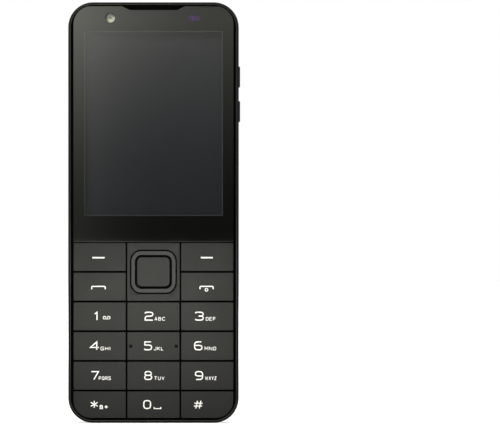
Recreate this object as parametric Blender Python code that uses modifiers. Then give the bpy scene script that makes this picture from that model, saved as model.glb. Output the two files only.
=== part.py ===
"""A bar-shaped mobile phone with a display and a keypad, taken apart into the pieces it is built from.

Units are metres. X is the width, Y the depth with the display facing -Y, and Z the length of the
phone. The origin lies at the middle of the bottom edge, halfway through the depth of the body.
"""

import math

import bmesh
import bpy
from mathutils import Matrix, Vector

MM = 0.001

# Fits between pieces
SEAT_GAP = 0.15 * MM
SEAM_GAP = 0.15 * MM
SIDE_CLEARANCE = 0.3 * MM
CUT_OVERRUN = 1.0 * MM
JOIN_OVERLAP = 0.3 * MM
WELD_DISTANCE = 0.0005 * MM

# Body
BODY_WIDTH = 53.3 * MM
BODY_LENGTH = 131.5 * MM
BODY_DEPTH = 12.0 * MM
BODY_CORNER = 7.8 * MM
RIM_ROUND = 0.7 * MM
RIM_WIDTH = 0.9 * MM
RIM_INNER_EDGE = 0.1 * MM
SIDE_WALL = 1.1 * MM
FACE_SETBACK = 0.15 * MM
DECK_THICKNESS = 0.8 * MM

# Window over the display
WINDOW_THICKNESS = 1.15 * MM
WINDOW_LENGTH = 73.7 * MM
WINDOW_CORNER = 5.6 * MM
WINDOW_LOWER_CORNER = 0.35 * MM
FACE_SIDE_GAP = 0.75 * MM
FACE_TOP_GAP = 0.35 * MM
FACE_BOTTOM_GAP = 0.6 * MM
NOTCH_TOP_WIDTH = 19.6 * MM
NOTCH_BOTTOM_WIDTH = 14.8 * MM
NOTCH_DEPTH = 1.2 * MM

# Display
DISPLAY_SIDE_BORDER = 3.4 * MM
DISPLAY_TOP_BORDER = 7.75 * MM
DISPLAY_LOWER_BORDER = 8.2 * MM
DECK_WINDOW_MARGIN = 0.6 * MM
PANEL_SIDE_MARGIN = 1.3 * MM
PANEL_TOP_MARGIN = 1.4 * MM
PANEL_LOWER_MARGIN = 3.9 * MM
PANEL_THICKNESS = 0.8 * MM
BACKLIGHT_THICKNESS = 0.5 * MM
TRAY_FLOOR = 0.25 * MM
TRAY_WALL = 0.3 * MM
TRAY_CLEARANCE = 0.2 * MM

# Earpiece, flash lamp and camera above the display
EARPIECE_RIM_GAP = 0.15 * MM
EARPIECE_SLOT_WIDTH = 10.0 * MM
EARPIECE_SLOT_HEIGHT = 0.6 * MM
EARPIECE_SETBACK = 0.3 * MM
RECEIVER_CAMERA_GAP = 4.0 * MM
RECEIVER_HEIGHT = 4.6 * MM
RECEIVER_DEPTH = 1.8 * MM
FRONT_FLASH_INSET = 13.15 * MM
FRONT_FLASH_DROP = 4.9 * MM
FRONT_FLASH_RADIUS = 1.45 * MM
FRONT_FLASH_THICKNESS = 0.7 * MM
FRONT_CAMERA_INSET = 13.85 * MM
FRONT_CAMERA_DROP = 5.0 * MM
FRONT_CAMERA_RADIUS = 1.6 * MM
FRONT_CAMERA_BASE = 3.6 * MM
FRONT_CAMERA_BASE_DEPTH = 1.7 * MM

# Keypad
KEY_ROWS = 6
KEY_COLUMNS = 3
KEY_GAP = 0.44 * MM
KEY_ROW_GAP = 0.5 * MM
LAST_ROW_TRIM = 0.44 * MM
KEY_WINDOW_GAP = 0.3 * MM
KEY_CORNER = 0.35 * MM
KEY_OUTER_CORNER = 5.4 * MM
KEY_EDGE_ROUND = 0.14 * MM
KEY_CAP_THICKNESS = 0.9 * MM
KEY_TRAVEL = 0.3 * MM
KEY_STOP_GAP = 0.05 * MM
POST_WIDTH = 4.0 * MM
POST_HEIGHT = 2.6 * MM
POST_CORNER = 0.4 * MM
POST_REACH = 0.55 * MM
NAV_POST_SHARES = (0.39, 0.28)

# Navigation keys
NAV_SIDE_MARGIN = 0.887 * MM
NAV_END_MARGIN = 2.13 * MM
NAV_OPENING_CORNER = 3.6 * MM
NAV_GROOVE = 0.37 * MM
NAV_RING_SIDE_BAND = 1.18 * MM
NAV_RING_END_BAND = 1.28 * MM
NAV_RING_HOLE_CORNER = 2.1 * MM
NAV_KEY_SIDE_GAP = 0.6 * MM
NAV_KEY_END_GAP = 0.625 * MM
NAV_KEY_CORNER = 1.5 * MM
NAV_LIFT = 0.12 * MM
NAV_KEY_THICKNESS = 0.75 * MM
CARRIER_GAP = 0.3 * MM
CARRIER_THICKNESS = 0.5 * MM
CARRIER_MARGIN = 0.5 * MM
CARRIER_HOLE_SHARE = 0.63
CARRIER_CORNER = 2.2 * MM
PIVOT_WIDTH = 1.6 * MM
PIVOT_LENGTH = 0.8 * MM
PIVOT_GAP = 0.25 * MM

# Rubber mat and switch domes
MAT_THICKNESS = 0.5 * MM
MAT_BOSS_HEIGHT = 0.3 * MM
MAT_SIDE_MARGIN = 5.5 * MM
MAT_CORNER = 1.5 * MM
MAT_BOTTOM = 2.6 * MM
DOME_SHEET_THICKNESS = 0.15 * MM
DOME_RADIUS = 2.0 * MM
DOME_HEIGHT = 0.08 * MM
DOME_SIDES = 6

# Circuit board and what stands on it
BOARD_THICKNESS = 0.8 * MM
BOARD_CLEARANCE = 0.7 * MM
SHIELD_SIDE_GAP = 6.15 * MM
SHIELD_BOTTOM = 9.0 * MM
SHIELD_WIDTH = 13.0 * MM
SHIELD_HEIGHT = 13.0 * MM
SHIELD_DEPTH = 1.9 * MM
SHIELD_CORNER = 0.6 * MM

# Rear frame and its screws
FRAME_THICKNESS = 0.6 * MM
FRAME_CLEARANCE = 0.3 * MM
BAY_WALL = 0.8 * MM
BAY_DEPTH = 3.4 * MM
BOSS_RADIUS = 1.3 * MM
BOSS_BORE_RADIUS = 0.62 * MM
SCREW_RADIUS = 0.48 * MM
SCREW_HOLE_RADIUS = 0.75 * MM
SCREW_HEAD_RADIUS = 1.15 * MM
SCREW_HEAD_DEPTH = 0.6 * MM
SCREW_RECESS_RADIUS = 0.42 * MM
SCREW_RECESS_DEPTH = 0.3 * MM
SCREW_SEAT_GAP = 0.05 * MM
SCREW_SIDE_INSET = 5.35 * MM
SCREW_BOTTOM_INSET = 4.9 * MM
SCREW_TOP_INSET = 4.2 * MM
SCREW_TOP_SIDE_INSET = 6.1 * MM
ROUND_STEPS = 16

# Battery
BATTERY_SIDE_MARGIN = 7.65 * MM
BATTERY_PILL_GAP = 9.8 * MM
BATTERY_BOTTOM = 28.0 * MM
BATTERY_CORNER = 1.2 * MM
BATTERY_COVER_GAP = 0.5 * MM
BATTERY_BAY_GAP = 0.35 * MM
CONTACT_WIDTH = 9.0 * MM
CONTACT_HEIGHT = 2.4 * MM
CONTACT_DEPTH = 2.6 * MM

# Rear cover
COVER_WALL = 1.1 * MM
COVER_SIDE_DEPTH = 1.45 * MM
ROLL_DEPTH = 3.8 * MM
ROLL_SIDE = 5.6 * MM
ROLL_TOP = 4.0 * MM
ROLL_BOTTOM = 7.8 * MM
FLAT_CORNER = 3.2 * MM
ROLL_STEPS = 8
INNER_ROLL_STEPS = 4

# Rear camera island
PILL_DROP = 24.45 * MM
PILL_WIDTH = 13.6 * MM
PILL_HEIGHT = 22.6 * MM
PILL_GROOVE = 0.5 * MM
PILL_PROUD = 0.25 * MM
PILL_EDGE = 0.5 * MM
PILL_THICKNESS = 1.6 * MM
CAMERA_RISE = 3.55 * MM
CAMERA_RING_RADIUS = 3.9 * MM
CAMERA_RING_INNER = 3.05 * MM
CAMERA_RING_PROUD = 0.2 * MM
CAMERA_RING_ROUND = 0.15 * MM
CAMERA_FIT = 0.12 * MM
CAMERA_LENS_SETBACK = 0.35 * MM
CAMERA_LENS_THICKNESS = 0.5 * MM
CAMERA_MODULE_SIDE = 8.4 * MM
CAMERA_MODULE_DEPTH = 3.4 * MM
CAMERA_BARREL_RADIUS = 2.6 * MM
REAR_FLASH_FALL = 4.65 * MM
REAR_FLASH_RADIUS = 2.1 * MM
REAR_FLASH_HOLE = 2.65 * MM
REAR_FLASH_SETBACK = 0.1 * MM
REAR_LED_SIDE = 3.2 * MM

# Card door in the side of the cover, and the reader behind it
DOOR_DROP = 24.9 * MM
DOOR_LENGTH = 14.8 * MM
DOOR_GAP = 0.2 * MM
DOOR_SWING_GAP = 0.06 * MM
DOOR_BRIDGE = 0.75 * MM
DOOR_REAR_MARGIN = 1.0 * MM
DOOR_BARREL_RADIUS = 0.55 * MM
DOOR_CORNER = 1.3 * MM
DOOR_REACH = 3.4 * MM
DOOR_PIN_RADIUS = 0.25 * MM
DOOR_BORE_RADIUS = 0.34 * MM
DOOR_PIN_OVERLAP = 1.2 * MM
PRY_SLOT_WIDTH = 0.9 * MM
PRY_SLOT_HEIGHT = 0.7 * MM
PRY_SLOT_DEPTH = 0.9 * MM
PRY_SLOT_RISE = 0.9 * MM
READER_PILL_GAP = 3.25 * MM
READER_HEIGHT = 12.6 * MM
READER_COVER_GAP = 1.2 * MM
READER_LID = 0.7 * MM
READER_INSET = 4.6 * MM
READER_SLOT = 0.8 * MM
READER_WALL = 0.3 * MM
SIM_SIDE_GAP = 4.4 * MM
SIM_HEIGHT = 15.5 * MM
SIM_DEPTH = 1.4 * MM
SIM_PILL_GAP = 1.95 * MM

# Volume keys in the side wall
VOLUME_DROPS = {"volume_up_key": 23.3 * MM, "volume_down_key": 34.1 * MM}
VOLUME_LENGTH = 6.6 * MM
VOLUME_WIDTH = 1.8 * MM
VOLUME_CORNER = 0.7 * MM
VOLUME_PROUD = 0.42 * MM
VOLUME_EDGE = 0.25 * MM
VOLUME_CENTRE_DEPTH = 3.4 * MM
VOLUME_HOLE_GAP = 0.18 * MM
VOLUME_TRAVEL = 0.25 * MM
VOLUME_FLANGE_MARGIN = 0.5 * MM
VOLUME_FLANGE_THICKNESS = 0.4 * MM
VOLUME_FLANGE_GAP = 0.15 * MM
FLEX_THICKNESS = 0.15 * MM
FLEX_MARGIN = 1.5 * MM

# Socket, loudspeaker, microphone and vibration motor
USB_WIDTH = 8.94 * MM
USB_HEIGHT = 3.26 * MM
USB_LENGTH = 7.0 * MM
USB_SHELL = 0.3 * MM
USB_HOLE_GAP = 0.18 * MM
USB_SETBACK = 0.25 * MM
USB_STANDOFF = 0.35 * MM
USB_BACK_WALL = 1.0 * MM
TONGUE_WIDTH = 6.6 * MM
TONGUE_THICKNESS = 0.7 * MM
TONGUE_SETBACK = 0.6 * MM
SPEAKER_SIDE_GAP = 6.65 * MM
SPEAKER_SOCKET_GAP = 1.53 * MM
SPEAKER_HEIGHT = 11.0 * MM
SPEAKER_DEPTH = 2.8 * MM
SPEAKER_BOTTOM = 3.2 * MM
SOUND_HOLES = 4
SOUND_HOLE_SIDES = 8
SOUND_HOLE_RADIUS = 0.55 * MM
SOUND_HOLE_PITCH = 2.2 * MM
EDGE_HOLE_DEPTH = 3.0 * MM
SOUND_HOLE_RISE = 1.7 * MM
MICROPHONE_INSET = 14.15 * MM
MICROPHONE_WIDTH = 3.8 * MM
MICROPHONE_HEIGHT = 3.0 * MM
MICROPHONE_DEPTH = 1.8 * MM
MICROPHONE_BOTTOM = 2.2 * MM
MICROPHONE_HOLE_RADIUS = 0.4 * MM
MOTOR_RADIUS = 2.0 * MM
MOTOR_LENGTH = 8.5 * MM
MOTOR_SIDE_GAP = 7.9 * MM
MOTOR_DROP = 9.3 * MM

# Depths, from the front of the phone to its back
FRONT_Y = -BODY_DEPTH / 2
BACK_Y = BODY_DEPTH / 2
SIDE_X = BODY_WIDTH / 2
FACE_Y = FRONT_Y + FACE_SETBACK
WINDOW_BACK_Y = FACE_Y + WINDOW_THICKNESS
DECK_FRONT_Y = WINDOW_BACK_Y + SEAT_GAP
DECK_BACK_Y = DECK_FRONT_Y + DECK_THICKNESS
KEY_BACK_Y = FACE_Y + KEY_CAP_THICKNESS
POST_END_Y = DECK_BACK_Y + POST_REACH
MAT_BOSS_Y = POST_END_Y + KEY_TRAVEL + KEY_STOP_GAP
MAT_FRONT_Y = MAT_BOSS_Y + MAT_BOSS_HEIGHT
MAT_BACK_Y = MAT_FRONT_Y + MAT_THICKNESS
DOME_FRONT_Y = MAT_BACK_Y + SEAT_GAP
DOME_BACK_Y = DOME_FRONT_Y + DOME_SHEET_THICKNESS
PANEL_FRONT_Y = DECK_BACK_Y + SEAT_GAP
PANEL_BACK_Y = PANEL_FRONT_Y + PANEL_THICKNESS
BACKLIGHT_FRONT_Y = PANEL_BACK_Y + SEAT_GAP
BACKLIGHT_BACK_Y = BACKLIGHT_FRONT_Y + BACKLIGHT_THICKNESS
TRAY_FLOOR_Y = BACKLIGHT_BACK_Y + SEAT_GAP
TRAY_BACK_Y = TRAY_FLOOR_Y + TRAY_FLOOR
BOARD_FRONT_Y = max(DOME_BACK_Y, TRAY_BACK_Y) + SEAT_GAP
BOARD_BACK_Y = BOARD_FRONT_Y + BOARD_THICKNESS
FRAME_FRONT_Y = BOARD_BACK_Y + SEAT_GAP
FRAME_BACK_Y = FRAME_FRONT_Y + FRAME_THICKNESS
REAR_SEAT_Y = FRAME_BACK_Y + SEAT_GAP
ROLL_START_Y = BACK_Y - ROLL_DEPTH
COVER_FRONT_Y = ROLL_START_Y - COVER_SIDE_DEPTH
HOUSING_BACK_Y = COVER_FRONT_Y - SEAM_GAP
COVER_INNER_Y = BACK_Y - COVER_WALL
READER_BACK_Y = COVER_INNER_Y - READER_COVER_GAP
BATTERY_BACK_Y = COVER_INNER_Y - BATTERY_COVER_GAP
BAY_BACK_Y = min(FRAME_BACK_Y + BAY_DEPTH, BATTERY_BACK_Y)
PILL_FRONT_Y = BACK_Y + PILL_PROUD - PILL_THICKNESS

# Widths and heights on the front
FACE_WIDTH = BODY_WIDTH - 2 * (RIM_WIDTH + FACE_SIDE_GAP)
FACE_TOP = BODY_LENGTH - RIM_WIDTH - FACE_TOP_GAP
WINDOW_BOTTOM = FACE_TOP - WINDOW_LENGTH
KEYPAD_TOP = WINDOW_BOTTOM - KEY_WINDOW_GAP
KEYPAD_BOTTOM = RIM_WIDTH + FACE_BOTTOM_GAP
KEY_WIDTH = (FACE_WIDTH - (KEY_COLUMNS - 1) * KEY_GAP) / KEY_COLUMNS
KEY_PITCH = (KEYPAD_TOP - KEYPAD_BOTTOM + KEY_ROW_GAP + LAST_ROW_TRIM) / KEY_ROWS
DISPLAY_WIDTH = FACE_WIDTH - 2 * DISPLAY_SIDE_BORDER
DISPLAY_TOP = FACE_TOP - DISPLAY_TOP_BORDER
DISPLAY_BOTTOM = WINDOW_BOTTOM + DISPLAY_LOWER_BORDER
MIDDLE_Z = BODY_LENGTH / 2
NAV_Z = KEYPAD_TOP - KEY_PITCH + KEY_ROW_GAP / 2
NAV_PLATE_HEIGHT = 2 * KEY_PITCH - KEY_ROW_GAP
NAV_OPENING_WIDTH = KEY_WIDTH - 2 * NAV_SIDE_MARGIN
NAV_OPENING_HEIGHT = NAV_PLATE_HEIGHT - 2 * NAV_END_MARGIN
NAV_RING_HOLE_WIDTH = NAV_OPENING_WIDTH - 2 * (NAV_GROOVE + NAV_RING_SIDE_BAND)
NAV_RING_HOLE_HEIGHT = NAV_OPENING_HEIGHT - 2 * (NAV_GROOVE + NAV_RING_END_BAND)
NAV_KEY_WIDTH = NAV_RING_HOLE_WIDTH - 2 * NAV_KEY_SIDE_GAP
NAV_KEY_HEIGHT = NAV_RING_HOLE_HEIGHT - 2 * NAV_KEY_END_GAP
FRONT_FLASH_PLACE = (FRONT_FLASH_INSET - SIDE_X, BODY_LENGTH - FRONT_FLASH_DROP)
FRONT_CAMERA_PLACE = (SIDE_X - FRONT_CAMERA_INSET, BODY_LENGTH - FRONT_CAMERA_DROP)
RECEIVER_WIDTH = 2 * (FRONT_CAMERA_PLACE[0] - FRONT_CAMERA_BASE / 2 - RECEIVER_CAMERA_GAP)
BATTERY_WIDTH = BODY_WIDTH - 2 * BATTERY_SIDE_MARGIN
PILL_Z = BODY_LENGTH - PILL_DROP
CAMERA_Z = PILL_Z + CAMERA_RISE
REAR_FLASH_Z = PILL_Z - REAR_FLASH_FALL
DOOR_Z = BODY_LENGTH - DOOR_DROP
USB_Y = BOARD_BACK_Y + USB_STANDOFF + USB_HEIGHT / 2
DOOR_OPENING_FRONT_Y = COVER_FRONT_Y + DOOR_BRIDGE
DOOR_OPENING_BACK_Y = BACK_Y - DOOR_REAR_MARGIN
DOOR_AXIS_Y = DOOR_OPENING_FRONT_Y + DOOR_GAP + DOOR_BARREL_RADIUS
DOOR_AXIS_X = -SIDE_X + COVER_WALL / 2
CORNER_STEPS = 8
SMALL_CORNER_STEPS = 3
PILL_ROUND_SHARE = 0.96

NUMBER_KEYS = (
    ("key_1", "key_2", "key_3"),
    ("key_4", "key_5", "key_6"),
    ("key_7", "key_8", "key_9"),
    ("key_star", "key_0", "key_hash"),
)
FUNCTION_KEYS = (("soft_key_left", "soft_key_right"), ("call_key", "end_key"))

# Finishes: colour, roughness, metallic
DARK_SHELL = ((0.012, 0.012, 0.011), 0.45, 0.0)
BACK_SHELL = ((0.016, 0.016, 0.016), 0.55, 0.0)
KEY_PLASTIC = ((0.05, 0.05, 0.05), 0.5, 0.0)
GLASS = ((0.01, 0.01, 0.011), 0.05, 0.0)
CLEAR_PLASTIC = ((0.8, 0.82, 0.75), 0.15, 0.0)
BLACK_PLASTIC = ((0.01, 0.01, 0.01), 0.35, 0.0)
RUBBER = ((0.03, 0.03, 0.03), 0.8, 0.0)
STEEL = ((0.6, 0.6, 0.6), 0.3, 1.0)
BOARD_GREEN = ((0.01, 0.12, 0.05), 0.5, 0.0)
FILM = ((0.45, 0.3, 0.08), 0.5, 0.0)
GREY_LABEL = ((0.25, 0.25, 0.26), 0.5, 0.0)
WHITE_FILM = ((0.75, 0.75, 0.75), 0.4, 0.0)

TURN_TO = {
    "X": Matrix(((0, 0, 1, 0), (1, 0, 0, 0), (0, 1, 0, 0), (0, 0, 0, 1))),
    "Y": Matrix(((1, 0, 0, 0), (0, 0, -1, 0), (0, 1, 0, 0), (0, 0, 0, 1))),
    "Z": Matrix.Identity(4),
}


def clear_scene():
    for item in list(bpy.data.objects):
        bpy.data.objects.remove(item, do_unlink=True)


def new_collection(name):
    collection = bpy.data.collections.new(name)
    bpy.context.scene.collection.children.link(collection)
    return collection


clear_scene()
PHONE = new_collection("mobile_phone")
CUTTERS = new_collection("cutters")


# Outlines, as lists of points on a plane


def fitted(radii, width, height):
    """The radii of a rounded rectangle, made smaller together where two don't fit along a side."""
    pairs = zip(radii, [*radii[1:], radii[0]], (height, width, height, width))
    scale = min(side / (near + far) for near, far, side in pairs)
    return [radius * min(1, scale * PILL_ROUND_SHARE) for radius in radii]


def rounded(width, height, radii, centre=(0, 0), steps=CORNER_STEPS):
    """A rounded rectangle, counter-clockwise, with its radii from the lower right corner on."""
    if not isinstance(radii, (tuple, list)):
        radii = [radii] * 4
    radii = fitted(radii, width, height)
    corners = ((1, -1, -90), (1, 1, 0), (-1, 1, 90), (-1, -1, 180))
    points = []
    for (side, end, start), radius in zip(corners, radii):
        x = centre[0] + side * (width / 2 - radius)
        y = centre[1] + end * (height / 2 - radius)
        for step in range(steps + 1):
            angle = math.radians(start + 90 * step / steps)
            points.append((x + radius * math.cos(angle), y + radius * math.sin(angle)))
    return points


def box_outline(width, height, centre=(0, 0)):
    sides = ((1, -1), (1, 1), (-1, 1), (-1, -1))
    return [(centre[0] + x * width / 2, centre[1] + y * height / 2) for x, y in sides]


def span_outline(left, right, bottom, top):
    return box_outline(right - left, top - bottom, ((left + right) / 2, (bottom + top) / 2))


def circle(radius, centre=(0, 0), steps=ROUND_STEPS):
    turns = [2 * math.pi * step / steps for step in range(steps)]
    return [(centre[0] + radius * math.cos(a), centre[1] + radius * math.sin(a)) for a in turns]


def body_outline(inset, steps=CORNER_STEPS):
    """The outline of the body seen from the front, this far inside its surface."""
    size = (BODY_WIDTH - 2 * inset, BODY_LENGTH - 2 * inset)
    return rounded(*size, BODY_CORNER - inset, (0, MIDDLE_Z), steps)


# Solids


def link_mesh(name, mesh):
    item = bpy.data.objects.new(name, mesh)
    PHONE.objects.link(item)
    return item


def loft(name, sections, hollow=False):
    """Skins sections of equally many points. A hollow one runs back to its first section."""
    shape = bmesh.new()
    rings = [[shape.verts.new(point) for point in section] for section in sections]
    pairs = list(zip(rings, rings[1:]))
    if hollow:
        pairs.append((rings[-1], rings[0]))
    for near, far in pairs:
        for here in range(len(near)):
            there = (here + 1) % len(near)
            shape.faces.new((near[here], near[there], far[there], far[here]))
    if not hollow:
        shape.faces.new(rings[0])
        shape.faces.new(rings[-1])
    bmesh.ops.recalc_face_normals(shape, faces=shape.faces)
    mesh = bpy.data.meshes.new(name)
    shape.to_mesh(mesh)
    shape.free()
    return link_mesh(name, mesh)


def at_depth(outline, y):
    return [(x, y, z) for x, z in outline]


def extruded(name, outlines, start, end, axis="Y"):
    """A flat outline with its holes, given thickness along an axis from start to end."""
    curve = bpy.data.curves.new(name, "CURVE")
    curve.dimensions = "2D"
    curve.fill_mode = "BOTH"
    curve.extrude = (end - start) / 2
    for outline in outlines:
        spline = curve.splines.new("POLY")
        spline.points.add(len(outline) - 1)
        for point, place in zip(spline.points, outline):
            point.co = (*place, 0, 1)
        spline.use_cyclic_u = True
    guide = bpy.data.objects.new(name + "_outline", curve)
    PHONE.objects.link(guide)
    middle = Vector([(start + end) / 2 if letter == axis else 0 for letter in "XYZ"])
    guide.matrix_world = Matrix.Translation(middle) @ TURN_TO[axis]
    bpy.context.view_layer.update()
    graph = bpy.context.evaluated_depsgraph_get()
    mesh = bpy.data.meshes.new_from_object(guide.evaluated_get(graph))
    mesh.name = name
    mesh.transform(guide.matrix_world)
    bpy.data.objects.remove(guide, do_unlink=True)
    bpy.data.curves.remove(curve)
    shape = bmesh.new()
    shape.from_mesh(mesh)
    bmesh.ops.remove_doubles(shape, verts=shape.verts, dist=WELD_DISTANCE)
    bmesh.ops.recalc_face_normals(shape, faces=shape.faces)
    shape.to_mesh(mesh)
    shape.free()
    mesh.materials.clear()
    return link_mesh(name, mesh)


def cylinder(name, radius, start, end, axis, centre, steps=ROUND_STEPS):
    """A round bar along an axis, with its centre given on the two other axes in order."""
    bpy.ops.mesh.primitive_cylinder_add(vertices=steps, radius=radius, depth=end - start)
    item = bpy.context.object
    item.name = name
    item.data.name = name
    for collection in list(item.users_collection):
        collection.objects.unlink(item)
    PHONE.objects.link(item)
    others = iter(centre)
    place = [(start + end) / 2 if letter == axis else next(others) for letter in "XYZ"]
    item.data.transform(Matrix.Translation(place) @ TURN_TO[axis])
    return item


def combine(item, other, operation, solver="EXACT"):
    """Joins, cuts or intersects with a helper, which then leaves the visible model."""
    step = item.modifiers.new(other.name, "BOOLEAN")
    step.operation = operation
    step.solver = solver
    step.object = other
    if other.name not in CUTTERS.objects:
        PHONE.objects.unlink(other)
        CUTTERS.objects.link(other)
    other.hide_render = True
    other.display_type = "WIRE"


def join(item, *others):
    for other in others:
        combine(item, other, "UNION")
    return item


def cut(item, *others):
    for other in others:
        combine(item, other, "DIFFERENCE")
    return item


def paint(item, finish):
    """Gives a piece its own material."""
    colour, roughness, metallic = finish
    material = bpy.data.materials.new(item.name + "_finish")
    material.use_nodes = True
    shader = material.node_tree.nodes["Principled BSDF"]
    shader.inputs["Base Color"].default_value = (*colour, 1)
    shader.inputs["Roughness"].default_value = roughness
    shader.inputs["Metallic"].default_value = metallic
    item.data.materials.append(material)
    return item


def finished(item, finish, origin=(0, 0, 0)):
    """Finishes a piece and puts its origin where it turns, slides or is fixed."""
    paint(item, finish)
    item.data.shade_smooth()
    item.data.set_sharp_from_angle(angle=math.radians(30))
    item.data.transform(Matrix.Translation(-Vector(origin)))
    item.location = origin
    return item


def turned(name, profile, place, steps=ROUND_STEPS, closed=False):
    """Turns a profile of radius and height about a line along Y, its heights running to the back."""
    mesh = bpy.data.meshes.new(name)
    last = [(len(profile) - 1, 0)] if closed else []
    edges = [(here, here + 1) for here in range(len(profile) - 1)] + last
    mesh.from_pydata([(radius, 0, height) for radius, height in profile], edges, [])
    item = link_mesh(name, mesh)
    item.location = place
    item.rotation_euler = (-math.pi / 2, 0, 0)
    turn = item.modifiers.new("turned", "SCREW")
    turn.steps = steps
    turn.render_steps = steps
    turn.use_merge_vertices = True
    turn.merge_threshold = WELD_DISTANCE
    return item


# Front housing and what it carries at the top


def key_cells():
    """Row and column of every key but the navigation keys."""
    cells = {}
    for row, names in enumerate(FUNCTION_KEYS):
        cells.update(zip(names, ((row, 0), (row, KEY_COLUMNS - 1))))
    for row, names in enumerate(NUMBER_KEYS, start=len(FUNCTION_KEYS)):
        cells.update({name: (row, column) for column, name in enumerate(names)})
    return cells


def cell_span(row, column):
    """Left, right, bottom and top of a cell of the keypad."""
    left = column * (KEY_WIDTH + KEY_GAP) - FACE_WIDTH / 2
    top = KEYPAD_TOP - row * KEY_PITCH
    bottom = KEYPAD_BOTTOM if row == KEY_ROWS - 1 else top - KEY_PITCH + KEY_ROW_GAP
    return left, left + KEY_WIDTH, bottom, top


def cell_middle(row, column):
    left, right, bottom, top = cell_span(row, column)
    return (left + right) / 2, (bottom + top) / 2


def screw_places():
    low = SIDE_X - SCREW_SIDE_INSET
    high = SIDE_X - SCREW_TOP_SIDE_INSET
    top = BODY_LENGTH - SCREW_TOP_INSET
    return ((-low, SCREW_BOTTOM_INSET), (low, SCREW_BOTTOM_INSET), (-high, top), (high, top))


def tabbed(width, height, cut_corner, tab_length, tab_width):
    """A rectangle about the navigation keys with cut corners and a tab on its left and right."""
    x, z, reach, half = width / 2, height / 2, width / 2 + tab_length, tab_width / 2
    low = ((x - cut_corner, -z), (x, cut_corner - z), (x, -half), (reach, -half))
    high = ((reach, half), (x, half), (x, z - cut_corner), (x - cut_corner, z))
    right = (*low, *high)
    left = [(-across, -along) for across, along in right]
    return [(across, NAV_Z + along) for across, along in (*right, *left)]


def carrier_outline(gap=0):
    width = NAV_OPENING_WIDTH - 2 * CARRIER_MARGIN + 2 * gap
    height = NAV_OPENING_HEIGHT - 2 * CARRIER_MARGIN + 2 * gap
    corner = min(CARRIER_CORNER, (height - PIVOT_WIDTH) / 2 - 2 * gap)
    return tabbed(width, height, corner, PIVOT_LENGTH, PIVOT_WIDTH + 2 * gap)


def display_outline(side, top, bottom):
    half = DISPLAY_WIDTH / 2 + side
    return span_outline(-half, half, DISPLAY_BOTTOM - bottom, DISPLAY_TOP + top)


def deck_holes():
    margin = DECK_WINDOW_MARGIN
    holes = [display_outline(margin, margin, margin), carrier_outline(PIVOT_GAP)]
    size = (POST_WIDTH + 2 * SIDE_CLEARANCE, POST_HEIGHT + 2 * SIDE_CLEARANCE)
    holes += [box_outline(*size, cell_middle(*cell)) for cell in key_cells().values()]
    slot = (0, FACE_TOP - NOTCH_DEPTH / 2)
    holes.append(box_outline(EARPIECE_SLOT_WIDTH, EARPIECE_SLOT_HEIGHT, slot))
    holes.append(circle(FRONT_FLASH_RADIUS + SIDE_CLEARANCE, FRONT_FLASH_PLACE))
    holes.append(circle(FRONT_CAMERA_RADIUS + SIDE_CLEARANCE, FRONT_CAMERA_PLACE))
    return holes


def rim_profile():
    """Insets and depths round the section of the front housing's side wall."""
    arc_steps = CORNER_STEPS // 2
    profile = []
    for step in range(arc_steps + 1):
        angle = math.pi / 2 * step / arc_steps
        inset = RIM_ROUND * (1 - math.sin(angle))
        profile.append((inset, FRONT_Y + RIM_ROUND * (1 - math.cos(angle))))
    deck_middle = (DECK_FRONT_Y + DECK_BACK_Y) / 2
    profile += [(0, HOUSING_BACK_Y), (SIDE_WALL, HOUSING_BACK_Y), (SIDE_WALL, deck_middle)]
    profile += [(RIM_WIDTH, deck_middle), (RIM_WIDTH, FRONT_Y + RIM_INNER_EDGE)]
    profile.append((RIM_WIDTH - RIM_INNER_EDGE, FRONT_Y))
    return profile


def volume_outline(drop, gap=0, longer=0):
    size = (VOLUME_WIDTH + 2 * gap, VOLUME_LENGTH + 2 * gap + 2 * longer)
    middle = (FRONT_Y + VOLUME_CENTRE_DEPTH, BODY_LENGTH - drop)
    return rounded(*size, VOLUME_CORNER + gap, middle, SMALL_CORNER_STEPS)


def front_housing():
    sections = [at_depth(body_outline(inset), y) for inset, y in rim_profile()]
    housing = loft("front_housing", sections, hollow=True)
    inside = body_outline(SIDE_WALL / 2)
    deck = extruded("deck", [inside, *deck_holes()], DECK_FRONT_Y, DECK_BACK_Y)
    rings = []
    for place in screw_places():
        rings += [circle(BOSS_RADIUS, place), circle(BOSS_BORE_RADIUS, place)]
    boss_front = (DECK_FRONT_Y + DECK_BACK_Y) / 2
    bosses = extruded("screw_bosses", rings, boss_front, FRAME_FRONT_Y - SEAT_GAP)
    # The exact solver leaves open edges where the deck's many holes meet the wall
    for inner_piece in (deck, bosses):
        combine(housing, inner_piece, "UNION", "MANIFOLD")
    ends = (SIDE_X - SIDE_WALL - CUT_OVERRUN, SIDE_X + CUT_OVERRUN)
    for name, drop in VOLUME_DROPS.items():
        hole = volume_outline(drop, gap=VOLUME_HOLE_GAP)
        hole = extruded(name + "_hole", [hole], *ends, "X")
        combine(housing, hole, "DIFFERENCE", "MANIFOLD")
    combine(housing, edge_holes("housing_edge_holes"), "DIFFERENCE", "MANIFOLD")
    finished(housing, DARK_SHELL)


def display_window():
    middle = (0, (WINDOW_BOTTOM + FACE_TOP) / 2)
    radii = (WINDOW_LOWER_CORNER, WINDOW_CORNER, WINDOW_CORNER, WINDOW_LOWER_CORNER)
    outline = rounded(FACE_WIDTH, WINDOW_LENGTH, radii, middle)
    top, bottom = NOTCH_TOP_WIDTH / 2, NOTCH_BOTTOM_WIDTH / 2
    low = FACE_TOP - NOTCH_DEPTH
    notch = [(top, FACE_TOP), (bottom, low), (-bottom, low), (-top, FACE_TOP)]
    after_right_corner = 2 * (CORNER_STEPS + 1)
    outline[after_right_corner:after_right_corner] = notch
    finished(extruded("display_window", [outline], FACE_Y, WINDOW_BACK_Y), GLASS)


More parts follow.
